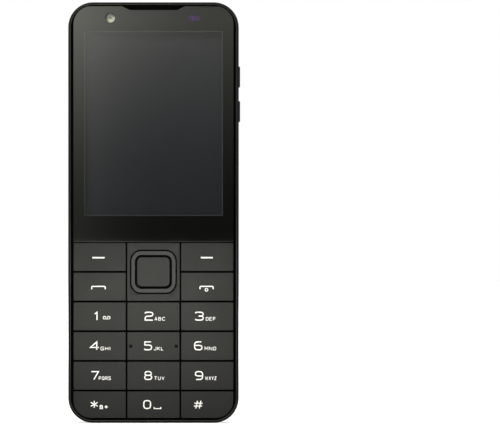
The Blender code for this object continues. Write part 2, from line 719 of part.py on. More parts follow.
def display_parts():
    panel = display_outline(PANEL_SIDE_MARGIN, PANEL_TOP_MARGIN, PANEL_LOWER_MARGIN)
    finished(extruded("lcd_panel", [panel], PANEL_FRONT_Y, PANEL_BACK_Y), BLACK_PLASTIC)
    light = extruded("lcd_backlight", [panel], BACKLIGHT_FRONT_Y, BACKLIGHT_BACK_Y)
    finished(light, WHITE_FILM)
    margins = (PANEL_SIDE_MARGIN, PANEL_TOP_MARGIN, PANEL_LOWER_MARGIN)
    inner = display_outline(*[margin + TRAY_CLEARANCE for margin in margins])
    outer = display_outline(*[margin + TRAY_CLEARANCE + TRAY_WALL for margin in margins])
    tray = extruded("lcd_tray", [outer, inner], PANEL_FRONT_Y, TRAY_BACK_Y)
    middle = display_outline(*[margin + TRAY_CLEARANCE + TRAY_WALL / 2 for margin in margins])
    join(tray, extruded("tray_floor", [middle], TRAY_FLOOR_Y, TRAY_BACK_Y - TRAY_FLOOR / 4))
    finished(tray, STEEL)


def earpiece():
    gap = EARPIECE_RIM_GAP
    top, bottom = FACE_TOP + FACE_TOP_GAP - gap, FACE_TOP - NOTCH_DEPTH + gap
    wide, narrow = NOTCH_TOP_WIDTH / 2 - 2 * gap, NOTCH_BOTTOM_WIDTH / 2 - gap
    outline = [(narrow, bottom), (wide, top), (-wide, top), (-narrow, bottom)]
    mesh = extruded("earpiece_mesh", [outline], FACE_Y + EARPIECE_SETBACK, WINDOW_BACK_Y)
    finished(mesh, STEEL)
    high = BODY_LENGTH - SIDE_WALL - SIDE_CLEARANCE
    half = RECEIVER_WIDTH / 2
    outline = span_outline(-half, half, high - RECEIVER_HEIGHT, high)
    back = PANEL_FRONT_Y + RECEIVER_DEPTH
    finished(extruded("earpiece_receiver", [outline], PANEL_FRONT_Y, back), BLACK_PLASTIC)


def front_lamp_and_camera():
    span = (DECK_FRONT_Y, DECK_FRONT_Y + FRONT_FLASH_THICKNESS)
    flash = cylinder("front_flash_lens", FRONT_FLASH_RADIUS, *span, "Y", FRONT_FLASH_PLACE)
    finished(flash, CLEAR_PLASTIC)
    camera = FRONT_CAMERA_PLACE
    base_back = PANEL_FRONT_Y + FRONT_CAMERA_BASE_DEPTH
    base = box_outline(FRONT_CAMERA_BASE, FRONT_CAMERA_BASE, camera)
    body = extruded("front_camera", [base], PANEL_FRONT_Y, base_back)
    span = (DECK_FRONT_Y, PANEL_FRONT_Y + JOIN_OVERLAP)
    join(body, cylinder("front_camera_barrel", FRONT_CAMERA_RADIUS, *span, "Y", camera))
    finished(body, BLACK_PLASTIC)


# Keypad


def pressed_key(name, size, radii, middle, front, back, post_size=(POST_WIDTH, POST_HEIGHT)):
    """A key cap with a rounded edge and a post behind it, as one stepped solid."""
    edge = KEY_EDGE_ROUND
    detail = CORNER_STEPS if max(radii) > NAV_KEY_CORNER else SMALL_CORNER_STEPS
    face_radii = [max(radius - edge, edge) for radius in radii]
    face = rounded(size[0] - 2 * edge, size[1] - 2 * edge, face_radii, middle, detail)
    cap = rounded(*size, radii, middle, detail)
    post = rounded(*post_size, POST_CORNER, middle, detail)
    steps = ((face, front), (cap, front + edge), (cap, back), (post, back), (post, POST_END_Y))
    key = loft(name, [at_depth(outline, y) for outline, y in steps])
    finished(key, KEY_PLASTIC, (middle[0], back, middle[1]))


def plain_keys():
    for name, cell in key_cells().items():
        left, right, bottom, top = cell_span(*cell)
        radii = [KEY_CORNER] * 4
        if cell == (KEY_ROWS - 1, 0):
            radii[3] = KEY_OUTER_CORNER
        if cell == (KEY_ROWS - 1, KEY_COLUMNS - 1):
            radii[0] = KEY_OUTER_CORNER
        size = (right - left, top - bottom)
        pressed_key(name, size, radii, cell_middle(*cell), FACE_Y, KEY_BACK_Y)


def navigation_keys():
    left, right, _, top = cell_span(0, 1)
    _, _, bottom, _ = cell_span(1, 1)
    middle = ((left + right) / 2, (bottom + top) / 2)
    plate = rounded(right - left, top - bottom, KEY_CORNER, middle, SMALL_CORNER_STEPS)
    size = (NAV_OPENING_WIDTH, NAV_OPENING_HEIGHT)
    opening = rounded(*size, NAV_OPENING_CORNER, (0, NAV_Z))
    finished(extruded("nav_surround", [plate, opening], FACE_Y, WINDOW_BACK_Y), KEY_PLASTIC)

    size = [side - 2 * NAV_GROOVE for side in size]
    band = rounded(*size, NAV_OPENING_CORNER - NAV_GROOVE, (0, NAV_Z))
    hole_size = (NAV_RING_HOLE_WIDTH, NAV_RING_HOLE_HEIGHT)
    hole = rounded(*hole_size, NAV_RING_HOLE_CORNER, (0, NAV_Z))
    ring = extruded("nav_ring", [band, hole], FACE_Y - NAV_LIFT, KEY_BACK_Y)
    finished(ring, KEY_PLASTIC, (0, KEY_BACK_Y + CARRIER_GAP / 2, NAV_Z))

    front = KEY_BACK_Y + CARRIER_GAP
    hole_size = [side * CARRIER_HOLE_SHARE for side in hole_size]
    hole = box_outline(*hole_size, (0, NAV_Z))
    outlines = [carrier_outline(), hole]
    carrier = extruded("nav_ring_carrier", outlines, front, front + CARRIER_THICKNESS)
    finished(carrier, BLACK_PLASTIC, (0, front + CARRIER_THICKNESS / 2, NAV_Z))

    size, front = (NAV_KEY_WIDTH, NAV_KEY_HEIGHT), FACE_Y - NAV_LIFT
    radii, back = [NAV_KEY_CORNER] * 4, FACE_Y - NAV_LIFT + NAV_KEY_THICKNESS
    post = [side * share for side, share in zip(size, NAV_POST_SHARES)]
    pressed_key("nav_key", size, radii, (0, NAV_Z), front, back, post)


def switch_places():
    """Middles of the switches: one under each key and four under the navigation ring."""
    places = [cell_middle(*cell) for cell in key_cells().values()]
    x = (NAV_OPENING_WIDTH + NAV_RING_HOLE_WIDTH) / 4
    z = (NAV_OPENING_HEIGHT + NAV_RING_HOLE_HEIGHT) / 4
    return places + [(0, NAV_Z), (x, NAV_Z), (-x, NAV_Z), (0, NAV_Z + z), (0, NAV_Z - z)]


def mat_outline(inset):
    half = FACE_WIDTH / 2 - MAT_SIDE_MARGIN - inset
    bottom, top = MAT_BOTTOM + inset, KEYPAD_TOP - inset
    middle = (0, (bottom + top) / 2)
    return rounded(2 * half, top - bottom, MAT_CORNER, middle, SMALL_CORNER_STEPS)


def keypad_layers():
    mat = extruded("keypad_mat", [mat_outline(0)], MAT_FRONT_Y, MAT_BACK_Y)
    boss = min(POST_HEIGHT, DOME_RADIUS)
    bosses = [box_outline(boss, boss, place) for place in switch_places()]
    back = MAT_FRONT_Y + MAT_THICKNESS / 2
    join(mat, extruded("mat_bosses", bosses, MAT_BOSS_Y, back))
    finished(mat, RUBBER)
    sheet = extruded("dome_sheet", [mat_outline(SIDE_CLEARANCE)], DOME_FRONT_Y, DOME_BACK_Y)
    domes = [circle(boss / 2, place, DOME_SIDES) for place in switch_places()]
    back = DOME_FRONT_Y + DOME_SHEET_THICKNESS / 2
    join(sheet, extruded("switch_domes", domes, DOME_FRONT_Y - DOME_HEIGHT, back))
    finished(sheet, FILM)


# Circuit board, rear frame and what they carry


def circuit_board():
    inside = body_outline(SIDE_WALL + BOARD_CLEARANCE, SMALL_CORNER_STEPS)
    holes = [circle(BOSS_RADIUS + SIDE_CLEARANCE, place) for place in screw_places()]
    board = extruded("circuit_board", [inside, *holes], BOARD_FRONT_Y, BOARD_BACK_Y)
    finished(board, BOARD_GREEN)


def shield_outline(gap=0):
    middle = (SIDE_X - SHIELD_SIDE_GAP - SHIELD_WIDTH / 2, SHIELD_BOTTOM + SHIELD_HEIGHT / 2)
    size = (SHIELD_WIDTH + 2 * gap, SHIELD_HEIGHT + 2 * gap)
    return rounded(*size, SHIELD_CORNER + gap, middle, SMALL_CORNER_STEPS)


def shield_can():
    front = BOARD_BACK_Y + SEAT_GAP
    finished(extruded("shield_can", [shield_outline()], front, front + SHIELD_DEPTH), STEEL)


def battery_outline(gap):
    top = PILL_Z - PILL_HEIGHT / 2 - BATTERY_PILL_GAP
    size = (BATTERY_WIDTH + 2 * gap, top - BATTERY_BOTTOM + 2 * gap)
    middle = (0, (top + BATTERY_BOTTOM) / 2)
    return rounded(*size, BATTERY_CORNER + gap, middle, SMALL_CORNER_STEPS)


def contact_span(gap=0):
    half, high = CONTACT_WIDTH / 2 + gap, BATTERY_BOTTOM - BATTERY_BAY_GAP
    return span_outline(-half, half, high - CONTACT_HEIGHT - gap, high + gap)


def pill_outline(inset):
    size = (PILL_WIDTH - 2 * inset, PILL_HEIGHT - 2 * inset)
    return rounded(*size, size[0] / 2 * PILL_ROUND_SHARE, (0, PILL_Z))


def rear_frame():
    edge = body_outline(SIDE_WALL + FRAME_CLEARANCE, SMALL_CORNER_STEPS)
    outlines = [edge, shield_outline(SIDE_CLEARANCE)]
    outlines += [circle(SCREW_HOLE_RADIUS, place) for place in screw_places()]
    frame = extruded("rear_frame", outlines, FRAME_FRONT_Y, FRAME_BACK_Y)
    middle = (FRAME_FRONT_Y + FRAME_BACK_Y) / 2
    walls = [battery_outline(BATTERY_BAY_GAP + BAY_WALL), battery_outline(BATTERY_BAY_GAP)]
    join(frame, extruded("battery_bay", walls, middle, BAY_BACK_Y))
    walls = [pill_outline(PILL_GROOVE), pill_outline(PILL_GROOVE + BAY_WALL)]
    join(frame, extruded("camera_bay", walls, middle, PILL_FRONT_Y - SEAT_GAP))
    contact = extruded("contact_gap", [contact_span(SIDE_CLEARANCE)], FRAME_BACK_Y, BACK_Y)
    half = USB_WIDTH / 2 + SIDE_CLEARANCE
    high = COVER_WALL + USB_SETBACK + USB_LENGTH + SIDE_CLEARANCE
    socket = span_outline(-half, half, -CUT_OVERRUN, high)
    front = FRAME_FRONT_Y - CUT_OVERRUN
    cut(frame, contact, extruded("socket_gap", [socket], front, FRAME_BACK_Y + CUT_OVERRUN))
    finished(frame, DARK_SHELL)


def frame_screws():
    tip = DECK_BACK_Y + SIDE_CLEARANCE
    seat = FRAME_BACK_Y + SCREW_SEAT_GAP
    top = seat + SCREW_HEAD_DEPTH
    recess = top - SCREW_RECESS_DEPTH
    profile = ((0, recess), (SCREW_RECESS_RADIUS, recess), (SCREW_RECESS_RADIUS, top))
    profile += ((SCREW_HEAD_RADIUS, top), (SCREW_HEAD_RADIUS, seat), (SCREW_RADIUS, seat))
    profile += ((SCREW_RADIUS, tip), (0, tip))
    for number, (x, z) in enumerate(screw_places(), start=1):
        paint(turned(f"frame_screw_{number}", profile, (x, 0, z)), STEEL)


def battery_parts():
    battery = extruded("battery", [battery_outline(0)], REAR_SEAT_Y, BATTERY_BACK_Y)
    finished(battery, GREY_LABEL)
    back = REAR_SEAT_Y + CONTACT_DEPTH
    contact = extruded("battery_connector", [contact_span()], REAR_SEAT_Y, back)
    finished(contact, BLACK_PLASTIC)


def usb_outline(inset):
    size = (USB_WIDTH - 2 * inset, USB_HEIGHT - 2 * inset)
    return rounded(*size, size[1] / 2 * PILL_ROUND_SHARE, (0, USB_Y), SMALL_CORNER_STEPS)


def usb_socket():
    mouth = COVER_WALL + USB_SETBACK
    end = mouth + USB_LENGTH
    outlines = [usb_outline(0), usb_outline(USB_SHELL)]
    socket = extruded("usb_socket", outlines, mouth, end, "Z")
    wall_span = (end - USB_BACK_WALL, end - USB_BACK_WALL / 4)
    wall = extruded("socket_back", [usb_outline(USB_SHELL / 2)], *wall_span, "Z")
    tongue = box_outline(TONGUE_WIDTH, TONGUE_THICKNESS, (0, USB_Y))
    inner = end - USB_BACK_WALL / 2
    join(socket, wall, extruded("tongue", [tongue], mouth + TONGUE_SETBACK, inner, "Z"))
    finished(socket, STEEL)


def speaker_span():
    """Left and right of the loudspeaker, between the screw and the socket."""
    return SPEAKER_SIDE_GAP - SIDE_X, -USB_WIDTH / 2 - SPEAKER_SOCKET_GAP


def bottom_parts():
    top = SPEAKER_BOTTOM + SPEAKER_HEIGHT
    box = span_outline(*speaker_span(), SPEAKER_BOTTOM, top)
    speaker = extruded("loudspeaker", [box], REAR_SEAT_Y, REAR_SEAT_Y + SPEAKER_DEPTH)
    finished(speaker, BLACK_PLASTIC)
    half = MICROPHONE_WIDTH / 2
    top = MICROPHONE_BOTTOM + MICROPHONE_HEIGHT
    x = SIDE_X - MICROPHONE_INSET
    box = span_outline(x - half, x + half, MICROPHONE_BOTTOM, top)
    microphone = extruded("microphone", [box], REAR_SEAT_Y, REAR_SEAT_Y + MICROPHONE_DEPTH)
    finished(microphone, STEEL)


def top_parts():
    middle = (REAR_SEAT_Y + MOTOR_RADIUS, BODY_LENGTH - MOTOR_DROP)
    span = (MOTOR_SIDE_GAP - SIDE_X, MOTOR_SIDE_GAP - SIDE_X + MOTOR_LENGTH)
    finished(cylinder("vibration_motor", MOTOR_RADIUS, *span, "X", middle), STEEL)
    span = (PILL_Z - SIM_HEIGHT / 2, PILL_Z + SIM_HEIGHT / 2)
    box = span_outline(PILL_WIDTH / 2 + SIM_PILL_GAP, SIDE_X - SIM_SIDE_GAP, *span)
    finished(extruded("sim_holder", [box], REAR_SEAT_Y, REAR_SEAT_Y + SIM_DEPTH), STEEL)


def card_reader():
    left, right = READER_INSET - SIDE_X, -PILL_WIDTH / 2 - READER_PILL_GAP
    half = READER_HEIGHT / 2
    outline = span_outline(REAR_SEAT_Y, READER_BACK_Y, DOOR_Z - half, DOOR_Z + half)
    reader = extruded("card_reader", [outline], left, right, "X")
    middle = (READER_BACK_Y - READER_LID - READER_SLOT / 2, DOOR_Z)
    slot = box_outline(READER_SLOT, READER_HEIGHT - 2 * READER_WALL, middle)
    ends = (left - CUT_OVERRUN, right - READER_WALL)
    cut(reader, extruded("reader_slot", [slot], *ends, "X"))
    finished(reader, STEEL)


# Volume keys


def at_side(outline, x):
    return [(x, y, z) for y, z in outline]


def volume_keys():
    flange_out = SIDE_X - SIDE_WALL - VOLUME_FLANGE_GAP
    flange_in = flange_out - VOLUME_FLANGE_THICKNESS
    tip = SIDE_X + VOLUME_PROUD
    for name, drop in VOLUME_DROPS.items():
        flange = volume_outline(drop, longer=VOLUME_FLANGE_MARGIN)
        cap, face = volume_outline(drop), volume_outline(drop, gap=-VOLUME_EDGE)
        steps = ((flange, flange_in), (flange, flange_out), (cap, flange_out))
        steps += ((cap, tip - VOLUME_EDGE), (face, tip))
        key = loft(name, [at_side(outline, x) for outline, x in steps])
        origin = (flange_out, FRONT_Y + VOLUME_CENTRE_DEPTH, BODY_LENGTH - drop)
        finished(key, BLACK_PLASTIC, origin)
    outer = flange_in - VOLUME_TRAVEL - KEY_STOP_GAP
    drops = VOLUME_DROPS.values()
    middle = BODY_LENGTH - (min(drops) + max(drops)) / 2
    length = max(drops) - min(drops) + VOLUME_LENGTH + 2 * FLEX_MARGIN
    outline = box_outline(VOLUME_WIDTH, length, (FRONT_Y + VOLUME_CENTRE_DEPTH, middle))
    finished(extruded("side_key_flex", [outline], outer - FLEX_THICKNESS, outer, "X"), FILM)


# Rear cover and its card door


def roll_outline(angle, wall):
    """The cover's outline where its skin has turned this far from the side to the back."""
    share = 1 - math.cos(angle)
    side, top, bottom = [wall + roll * share for roll in (ROLL_SIDE, ROLL_TOP, ROLL_BOTTOM)]
    radius = BODY_CORNER + (FLAT_CORNER - BODY_CORNER) * share - wall
    height = BODY_LENGTH - top - bottom
    return rounded(BODY_WIDTH - 2 * side, height, radius, (0, bottom + height / 2))


def skin(wall, steps):
    """Sections of the cover's outer or inner skin, from the flat back to the seam."""
    sections = []
    for step in range(steps, -1, -1):
        angle = math.pi / 2 * step / steps
        y = ROLL_START_Y + (ROLL_DEPTH - wall) * math.sin(angle)
        sections.append(at_depth(roll_outline(angle, wall), y))
    sections.append(at_depth(roll_outline(0, wall), COVER_FRONT_Y))
    return sections


def cover_shell(name):
    return loft(name, skin(0, ROLL_STEPS) + skin(COVER_WALL, INNER_ROLL_STEPS)[::-1])


def door_outline(gap):
    """The door's opening in the side, seen along X, or the door itself with a gap round it."""
    front, back = DOOR_OPENING_FRONT_Y + gap, DOOR_OPENING_BACK_Y - gap
    radii = (DOOR_CORNER, DOOR_CORNER, WINDOW_LOWER_CORNER, WINDOW_LOWER_CORNER)
    middle = ((front + back) / 2, DOOR_Z)
    return rounded(back - front, DOOR_LENGTH - 2 * gap, radii, middle, SMALL_CORNER_STEPS)


def edge_holes(name):
    """Cutters for the holes in the bottom edge: socket, loudspeaker and microphone."""
    span = (-CUT_OVERRUN, EDGE_HOLE_DEPTH)
    y = REAR_SEAT_Y + SOUND_HOLE_RISE
    socket = usb_outline(-USB_HOLE_GAP)
    first = sum(speaker_span()) / 2 - (SOUND_HOLES - 1) * SOUND_HOLE_PITCH / 2
    places = [first + hole * SOUND_HOLE_PITCH for hole in range(SOUND_HOLES)]
    rounds = [circle(SOUND_HOLE_RADIUS, (x, y), SOUND_HOLE_SIDES) for x in places]
    microphone = (SIDE_X - MICROPHONE_INSET, y)
    rounds.append(circle(MICROPHONE_HOLE_RADIUS, microphone, SOUND_HOLE_SIDES))
    return extruded(name, [socket, *rounds], *span, "Z")


def back_cover():
    cover = cover_shell("back_cover")
    side = -SIDE_X
    reach = side + DOOR_REACH + DOOR_GAP
    opening = extruded("door_opening", [door_outline(0)], side - CUT_OVERRUN, reach, "X")
    pill = extruded("pill_hole", [pill_outline(0)], ROLL_START_Y, BACK_Y + CUT_OVERRUN)
    cut(cover, opening, pill, edge_holes("cover_edge_holes"))
    cut(cover, pin_bar("pin_bore", DOOR_BORE_RADIUS))
    finished(cover, BACK_SHELL)


def pin_bar(name, radius):
    """A round bar on the door's axis, reaching into the cover at both ends."""
    spare = DOOR_BORE_RADIUS - radius
    half = DOOR_LENGTH / 2 + DOOR_PIN_OVERLAP - spare
    place = (DOOR_AXIS_X, DOOR_AXIS_Y)
    return cylinder(name, radius, DOOR_Z - half, DOOR_Z + half, "Z", place)


def card_door():
    door = cover_shell("card_door")
    low, high = DOOR_Z - DOOR_LENGTH / 2 + DOOR_GAP, DOOR_Z + DOOR_LENGTH / 2 - DOOR_GAP
    reach = DOOR_OPENING_BACK_Y - DOOR_SWING_GAP - DOOR_AXIS_Y
    steps = 2 * ROUND_STEPS
    swing = []
    for step in range(steps + 1):
        angle = math.pi * step / steps
        place = (DOOR_AXIS_X + reach * math.cos(angle), DOOR_AXIS_Y + reach * math.sin(angle))
        swing.append(place)
    combine(door, extruded("door_swing", [swing], low, high, "Z"), "INTERSECT")
    side = -SIDE_X
    face = door_outline(DOOR_GAP)
    face = extruded("door_face", [face], side - CUT_OVERRUN, side + DOOR_REACH, "X")
    combine(door, face, "INTERSECT")
    place = (DOOR_AXIS_X, DOOR_AXIS_Y)
    join(door, cylinder("door_barrel", DOOR_BARREL_RADIUS, low, high, "Z", place))
    middle = ((DOOR_OPENING_BACK_Y + DOOR_AXIS_Y) / 2, low + PRY_SLOT_RISE)
    slot = box_outline(PRY_SLOT_WIDTH, PRY_SLOT_HEIGHT, middle)
    slot = extruded("pry_slot", [slot], side - CUT_OVERRUN, side + PRY_SLOT_DEPTH, "X")
    cut(door, slot, pin_bar("door_bore", DOOR_BORE_RADIUS))
    finished(door, BACK_SHELL, (DOOR_AXIS_X, DOOR_AXIS_Y, DOOR_Z))
    pin = pin_bar("card_door_pin", DOOR_PIN_RADIUS)
    finished(pin, STEEL, (DOOR_AXIS_X, DOOR_AXIS_Y, DOOR_Z))


# Rear camera


def camera_island():
    back = BACK_Y + PILL_PROUD
    face, edge = pill_outline(PILL_GROOVE + PILL_EDGE), pill_outline(PILL_GROOVE)
    steps = ((edge, PILL_FRONT_Y), (edge, back - PILL_EDGE), (face, back))
    plate = loft("camera_plate", [at_depth(outline, y) for outline, y in steps])
    span = (PILL_FRONT_Y - CUT_OVERRUN, back + CUT_OVERRUN)
    radius = CAMERA_RING_RADIUS + CAMERA_FIT
    hole = cylinder("camera_hole", radius, *span, "Y", (0, CAMERA_Z), 2 * ROUND_STEPS)
    cut(plate, hole, cylinder("flash_hole", REAR_FLASH_HOLE, *span, "Y", (0, REAR_FLASH_Z)))
    finished(plate, BLACK_PLASTIC)

    top = back + CAMERA_RING_PROUD
    bevel = CAMERA_RING_ROUND
    outer, inner = CAMERA_RING_RADIUS, CAMERA_RING_INNER
    profile = ((inner, top - bevel), (inner + bevel, top), (outer - bevel, top))
    profile += ((outer, top - bevel), (outer, PILL_FRONT_Y), (inner, PILL_FRONT_Y))
    ring = turned("camera_ring", profile, (0, 0, CAMERA_Z), 2 * ROUND_STEPS, closed=True)
    paint(ring, STEEL)

    lens_back = top - CAMERA_LENS_SETBACK
    lens_front = lens_back - CAMERA_LENS_THICKNESS
    radius = CAMERA_RING_INNER - CAMERA_FIT
    lens = cylinder("camera_lens", radius, lens_front, lens_back, "Y", (0, CAMERA_Z))
    finished(lens, GLASS)

    box = box_outline(CAMERA_MODULE_SIDE, CAMERA_MODULE_SIDE, (0, CAMERA_Z))
    seat = REAR_SEAT_Y + CAMERA_MODULE_DEPTH
    module = extruded("rear_camera_module", [box], REAR_SEAT_Y, seat)
    span = (seat - JOIN_OVERLAP, lens_front - SEAT_GAP)
    join(module, cylinder("camera_barrel", CAMERA_BARREL_RADIUS, *span, "Y", (0, CAMERA_Z)))
    finished(module, BLACK_PLASTIC)


def rear_flash():
    place = (0, REAR_FLASH_Z)
    span = (PILL_FRONT_Y, BACK_Y + PILL_PROUD - REAR_FLASH_SETBACK)
    lens = cylinder("rear_flash_lens", REAR_FLASH_RADIUS, *span, "Y", place)
    finished(lens, CLEAR_PLASTIC)
    box = box_outline(REAR_LED_SIDE, REAR_LED_SIDE, place)
    led = extruded("rear_flash_led", [box], REAR_SEAT_Y, PILL_FRONT_Y - SEAT_GAP)
    finished(led, WHITE_FILM)


def main():
    front_housing()
    display_window()
    display_parts()
    earpiece()
    front_lamp_and_camera()
    plain_keys()
    navigation_keys()
    keypad_layers()
    circuit_board()
    shield_can()
    rear_frame()
    frame_screws()
    battery_parts()
    usb_socket()
    bottom_parts()
    top_parts()
    card_reader()
    volume_keys()
    back_cover()
    card_door()
    camera_island()
    rear_flash()


main()
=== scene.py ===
"""The looks of a keypad mobile phone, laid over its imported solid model.

Run as a script, it loads the frame and builds the visible pieces with their finishes, the stage and
the camera. Units are metres. X is the width, -Y the side with the display, and Z the length.
"""

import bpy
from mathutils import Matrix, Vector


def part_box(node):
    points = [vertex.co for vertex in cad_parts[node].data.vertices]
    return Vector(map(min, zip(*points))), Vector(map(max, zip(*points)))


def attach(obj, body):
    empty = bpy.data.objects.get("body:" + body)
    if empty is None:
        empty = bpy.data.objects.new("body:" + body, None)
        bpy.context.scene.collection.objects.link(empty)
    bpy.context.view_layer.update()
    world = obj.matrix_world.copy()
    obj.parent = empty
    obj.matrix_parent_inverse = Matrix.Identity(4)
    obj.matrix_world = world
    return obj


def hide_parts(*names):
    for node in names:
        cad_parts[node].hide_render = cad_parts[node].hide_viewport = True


bl_info = {
    "name": "Keypad phone",
    "version": (1, 0, 0),
    "blender": (4, 5, 0),
    "location": "3D View > Sidebar > Phone",
    "description": "Builds the pieces, finishes and stage of a keypad mobile phone",
    "category": "Object",
}

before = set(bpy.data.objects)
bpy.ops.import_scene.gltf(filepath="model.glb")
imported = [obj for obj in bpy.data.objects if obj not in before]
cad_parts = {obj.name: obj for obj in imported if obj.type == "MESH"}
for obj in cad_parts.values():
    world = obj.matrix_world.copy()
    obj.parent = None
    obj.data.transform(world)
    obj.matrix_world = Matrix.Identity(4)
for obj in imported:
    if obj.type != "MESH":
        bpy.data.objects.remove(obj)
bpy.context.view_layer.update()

import math

import bmesh
import bpy
from bpy.props import FloatProperty, FloatVectorProperty, PointerProperty
from mathutils import Matrix, Vector

MM = 0.001


def mm(*values):
    """Lengths given in millimetres, as metres."""
    return tuple(value * MM for value in values)


class Box:
    """A node's box in the frame: its corners, sides and middle."""

    def __init__(self, node):
        self.low, self.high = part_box(node)
        self.front, self.back = self.low.y, self.high.y
        self.width, self.depth, self.height = [b - a for a, b in zip(self.low, self.high)]
        self.middle = (self.low + self.high) / 2
        self.flat = (self.middle.x, self.middle.z)
        self.axis = (self.middle.x, 0, self.middle.z)
        self.radius = self.width / 2


# Sizes that the frame gives
BODY, COVER, WINDOW = Box("front_housing"), Box("back_cover"), Box("display_window")
SIDE_X, FRONT_Y, BACK_Y, LENGTH = BODY.high.x, BODY.front, COVER.back, BODY.high.z
MIDDLE_Z, FACE_TOP = LENGTH / 2, WINDOW.high.z
HOUSING_BACK_Y, COVER_FRONT_Y = BODY.back, COVER.front

# Body, as the solid model has it
BODY_CORNER, RIM_WIDTH, SIDE_WALL, DECK_THICKNESS = mm(7.8, 0.9, 1.1, 0.8)
SEAT_GAP, SIDE_CLEARANCE, CUT_OVERRUN = mm(0.15, 0.3, 1.0)
BOSS_RADIUS, BOSS_BORE_RADIUS, POST_CORNER = mm(1.3, 0.62, 0.4)
POST_SIZE, SEAM_LIP = mm(4.0, 2.6), mm(0.35, 0.75)
DECK_FRONT_Y = WINDOW.back + SEAT_GAP
DECK_BACK_Y = DECK_FRONT_Y + DECK_THICKNESS
DECK_MIDDLE_Y = (DECK_FRONT_Y + DECK_BACK_Y) / 2

# Window, display and what lies above them
WINDOW_CORNER, WINDOW_LOWER_CORNER = mm(5.6, 0.35)
NOTCH_TOP_WIDTH, NOTCH_BOTTOM_WIDTH, NOTCH_DEPTH = mm(19.6, 14.8, 1.2)
DISPLAY_SIDE_BORDER, DISPLAY_LOWER_BORDER, DISPLAY_TOP_BORDER = mm(3.4, 8.2, 7.75)
DISPLAY_HALF_WIDTH = WINDOW.high.x - DISPLAY_SIDE_BORDER
DISPLAY_BOTTOM = WINDOW.low.z + DISPLAY_LOWER_BORDER
DISPLAY_TOP = WINDOW.high.z - DISPLAY_TOP_BORDER
EARPIECE_SLOT = mm(10.0, 0.6)
MESH_FRAME, MESH_WIRE = mm(0.22, 0.07)
LAMP_CHIP_SIZE = mm(0.9, 0.7)

# Keys
KEY_CORNER, KEY_OUTER_CORNER, KEY_THICKNESS = mm(0.35, 5.4, 0.9)
PIP_SPACING, PIP_RADIUS, PIP_RISE = mm(14.2, 0.56, 0.09)
NAV_GROOVE, NAV_RING_INSET, NAV_SIDE_BAND, NAV_END_BAND = mm(0.42, 0.05, 1.12, 1.22)
NAV_OPENING_CORNER, NAV_HOLE_CORNER, NAV_KEY_CORNER, NAV_KEY_THICKNESS = mm(3.6, 2.1, 1.5, 0.75)
NAV_POST_SHARES = (0.39, 0.28)
VOLUME_WIDTH, VOLUME_HEIGHT, VOLUME_CORNER, VOLUME_HOLE_GAP = mm(1.8, 6.6, 0.7, 0.18)
VOLUME_Y = FRONT_Y + 3.4 * MM
VOLUME_Z = {"volume_up_key": LENGTH - 23.3 * MM, "volume_down_key": LENGTH - 34.1 * MM}
OUTER_CORNERS = {"key_star": 3, "key_hash": 0}
PLAIN_KEYS = ["soft_key_left", "soft_key_right", "call_key", "end_key"]
PLAIN_KEYS += [f"key_{sign}" for sign in (*range(10), "star", "hash")]

# Holes and screws
DISPLAY_HOLE_MARGIN, SCREW_HOLE_RADIUS, EDGE_HOLE_DEPTH, USB_HOLE_GAP = mm(0.6, 0.75, 3.0, 0.18)
SOUND_HOLE_RADIUS, SOUND_HOLE_PITCH, MICROPHONE_HOLE_RADIUS = mm(0.55, 2.2, 0.4)
SOUND_HOLES = 4
SOUND_HOLE_Y = Box("rear_frame").front + 2.45 * MM
SCREWS = [f"frame_screw_{number}" for number in range(1, 5)]
SCREW_PLACES = [Box(name).flat for name in SCREWS]

# Rear cover, camera island and card door
COVER_WALL, ROLL_DEPTH, FLAT_CORNER = mm(1.1, 3.8, 3.2)
ROLL_SIDE_TOP_BOTTOM = mm(5.6, 4.0, 7.8)
ROLL_START_Y = BACK_Y - ROLL_DEPTH
ROLL_TURNS = 24
PILL_SIZE, PILL_Z, PILL_ROUND_SHARE = mm(13.6, 22.6), LENGTH - 24.45 * MM, 0.96
PILL_GROOVE, RING_RADIUS, RING_INNER, RING_FIT, RING_BEVEL = mm(0.5, 3.9, 3.05, 0.3, 0.16)
ISLAND_BEAD, LAMP_HOLE_RADIUS = mm(0.4, 0.6), 2.65 * MM
MODULE_BASE_DEPTH, MODULE_RADIUS, MODULE_LENS_RADIUS = mm(3.4, 2.6, 1.98)
DOOR_Z, DOOR_FRONT_Y, DOOR_BACK_Y = LENGTH - 24.9 * MM, COVER_FRONT_Y + 0.75 * MM, BACK_Y - MM
DOOR_LENGTH, DOOR_REACH, DOOR_CORNER, DOOR_GAP, DOOR_SWING_GAP = mm(14.8, 3.4, 1.3, 0.2, 0.06)
DOOR_BARREL_RADIUS, DOOR_BORE_RADIUS, DOOR_PIN_OVERLAP = mm(0.55, 0.34, 1.2)
DOOR_AXIS = (COVER_WALL / 2 - SIDE_X, DOOR_FRONT_Y + DOOR_GAP + DOOR_BARREL_RADIUS)
PRY_SLOT, PRY_SLOT_CORNER, PRY_SLOT_DEPTH, PRY_SLOT_RISE = mm(0.9, 0.7), *mm(0.2, 0.9, 0.9)

# Pieces inside
USB_SHELL, TONGUE_WIDTH, TONGUE_THICKNESS, TONGUE_SETBACK = mm(0.3, 6.6, 0.7, 0.6)
CONTACTS, CONTACT_PITCH, CONTACT_SIZE = 12, 0.5 * MM, mm(0.26, 0.06)
FRAME_THICKNESS, BAY_GAP, BAY_WALL, BATTERY_CORNER = mm(0.6, 0.35, 0.8, 1.2)
RIB_WIDTH, RIB_LENGTH, RIB_HEIGHT, RIB_EDGE = mm(0.7, 7.0, 0.8, 2.2)
RIB_SHARE, SCREW_HEAD_DEPTH, MOTOR_WEIGHT = 0.45, *mm(0.6, 2.2)
BATTERY_CONTACTS, BATTERY_CONTACT_PITCH = 4, 2.0 * MM
READER_LID, READER_SLOT, READER_WALL = mm(0.7, 0.8, 0.3)

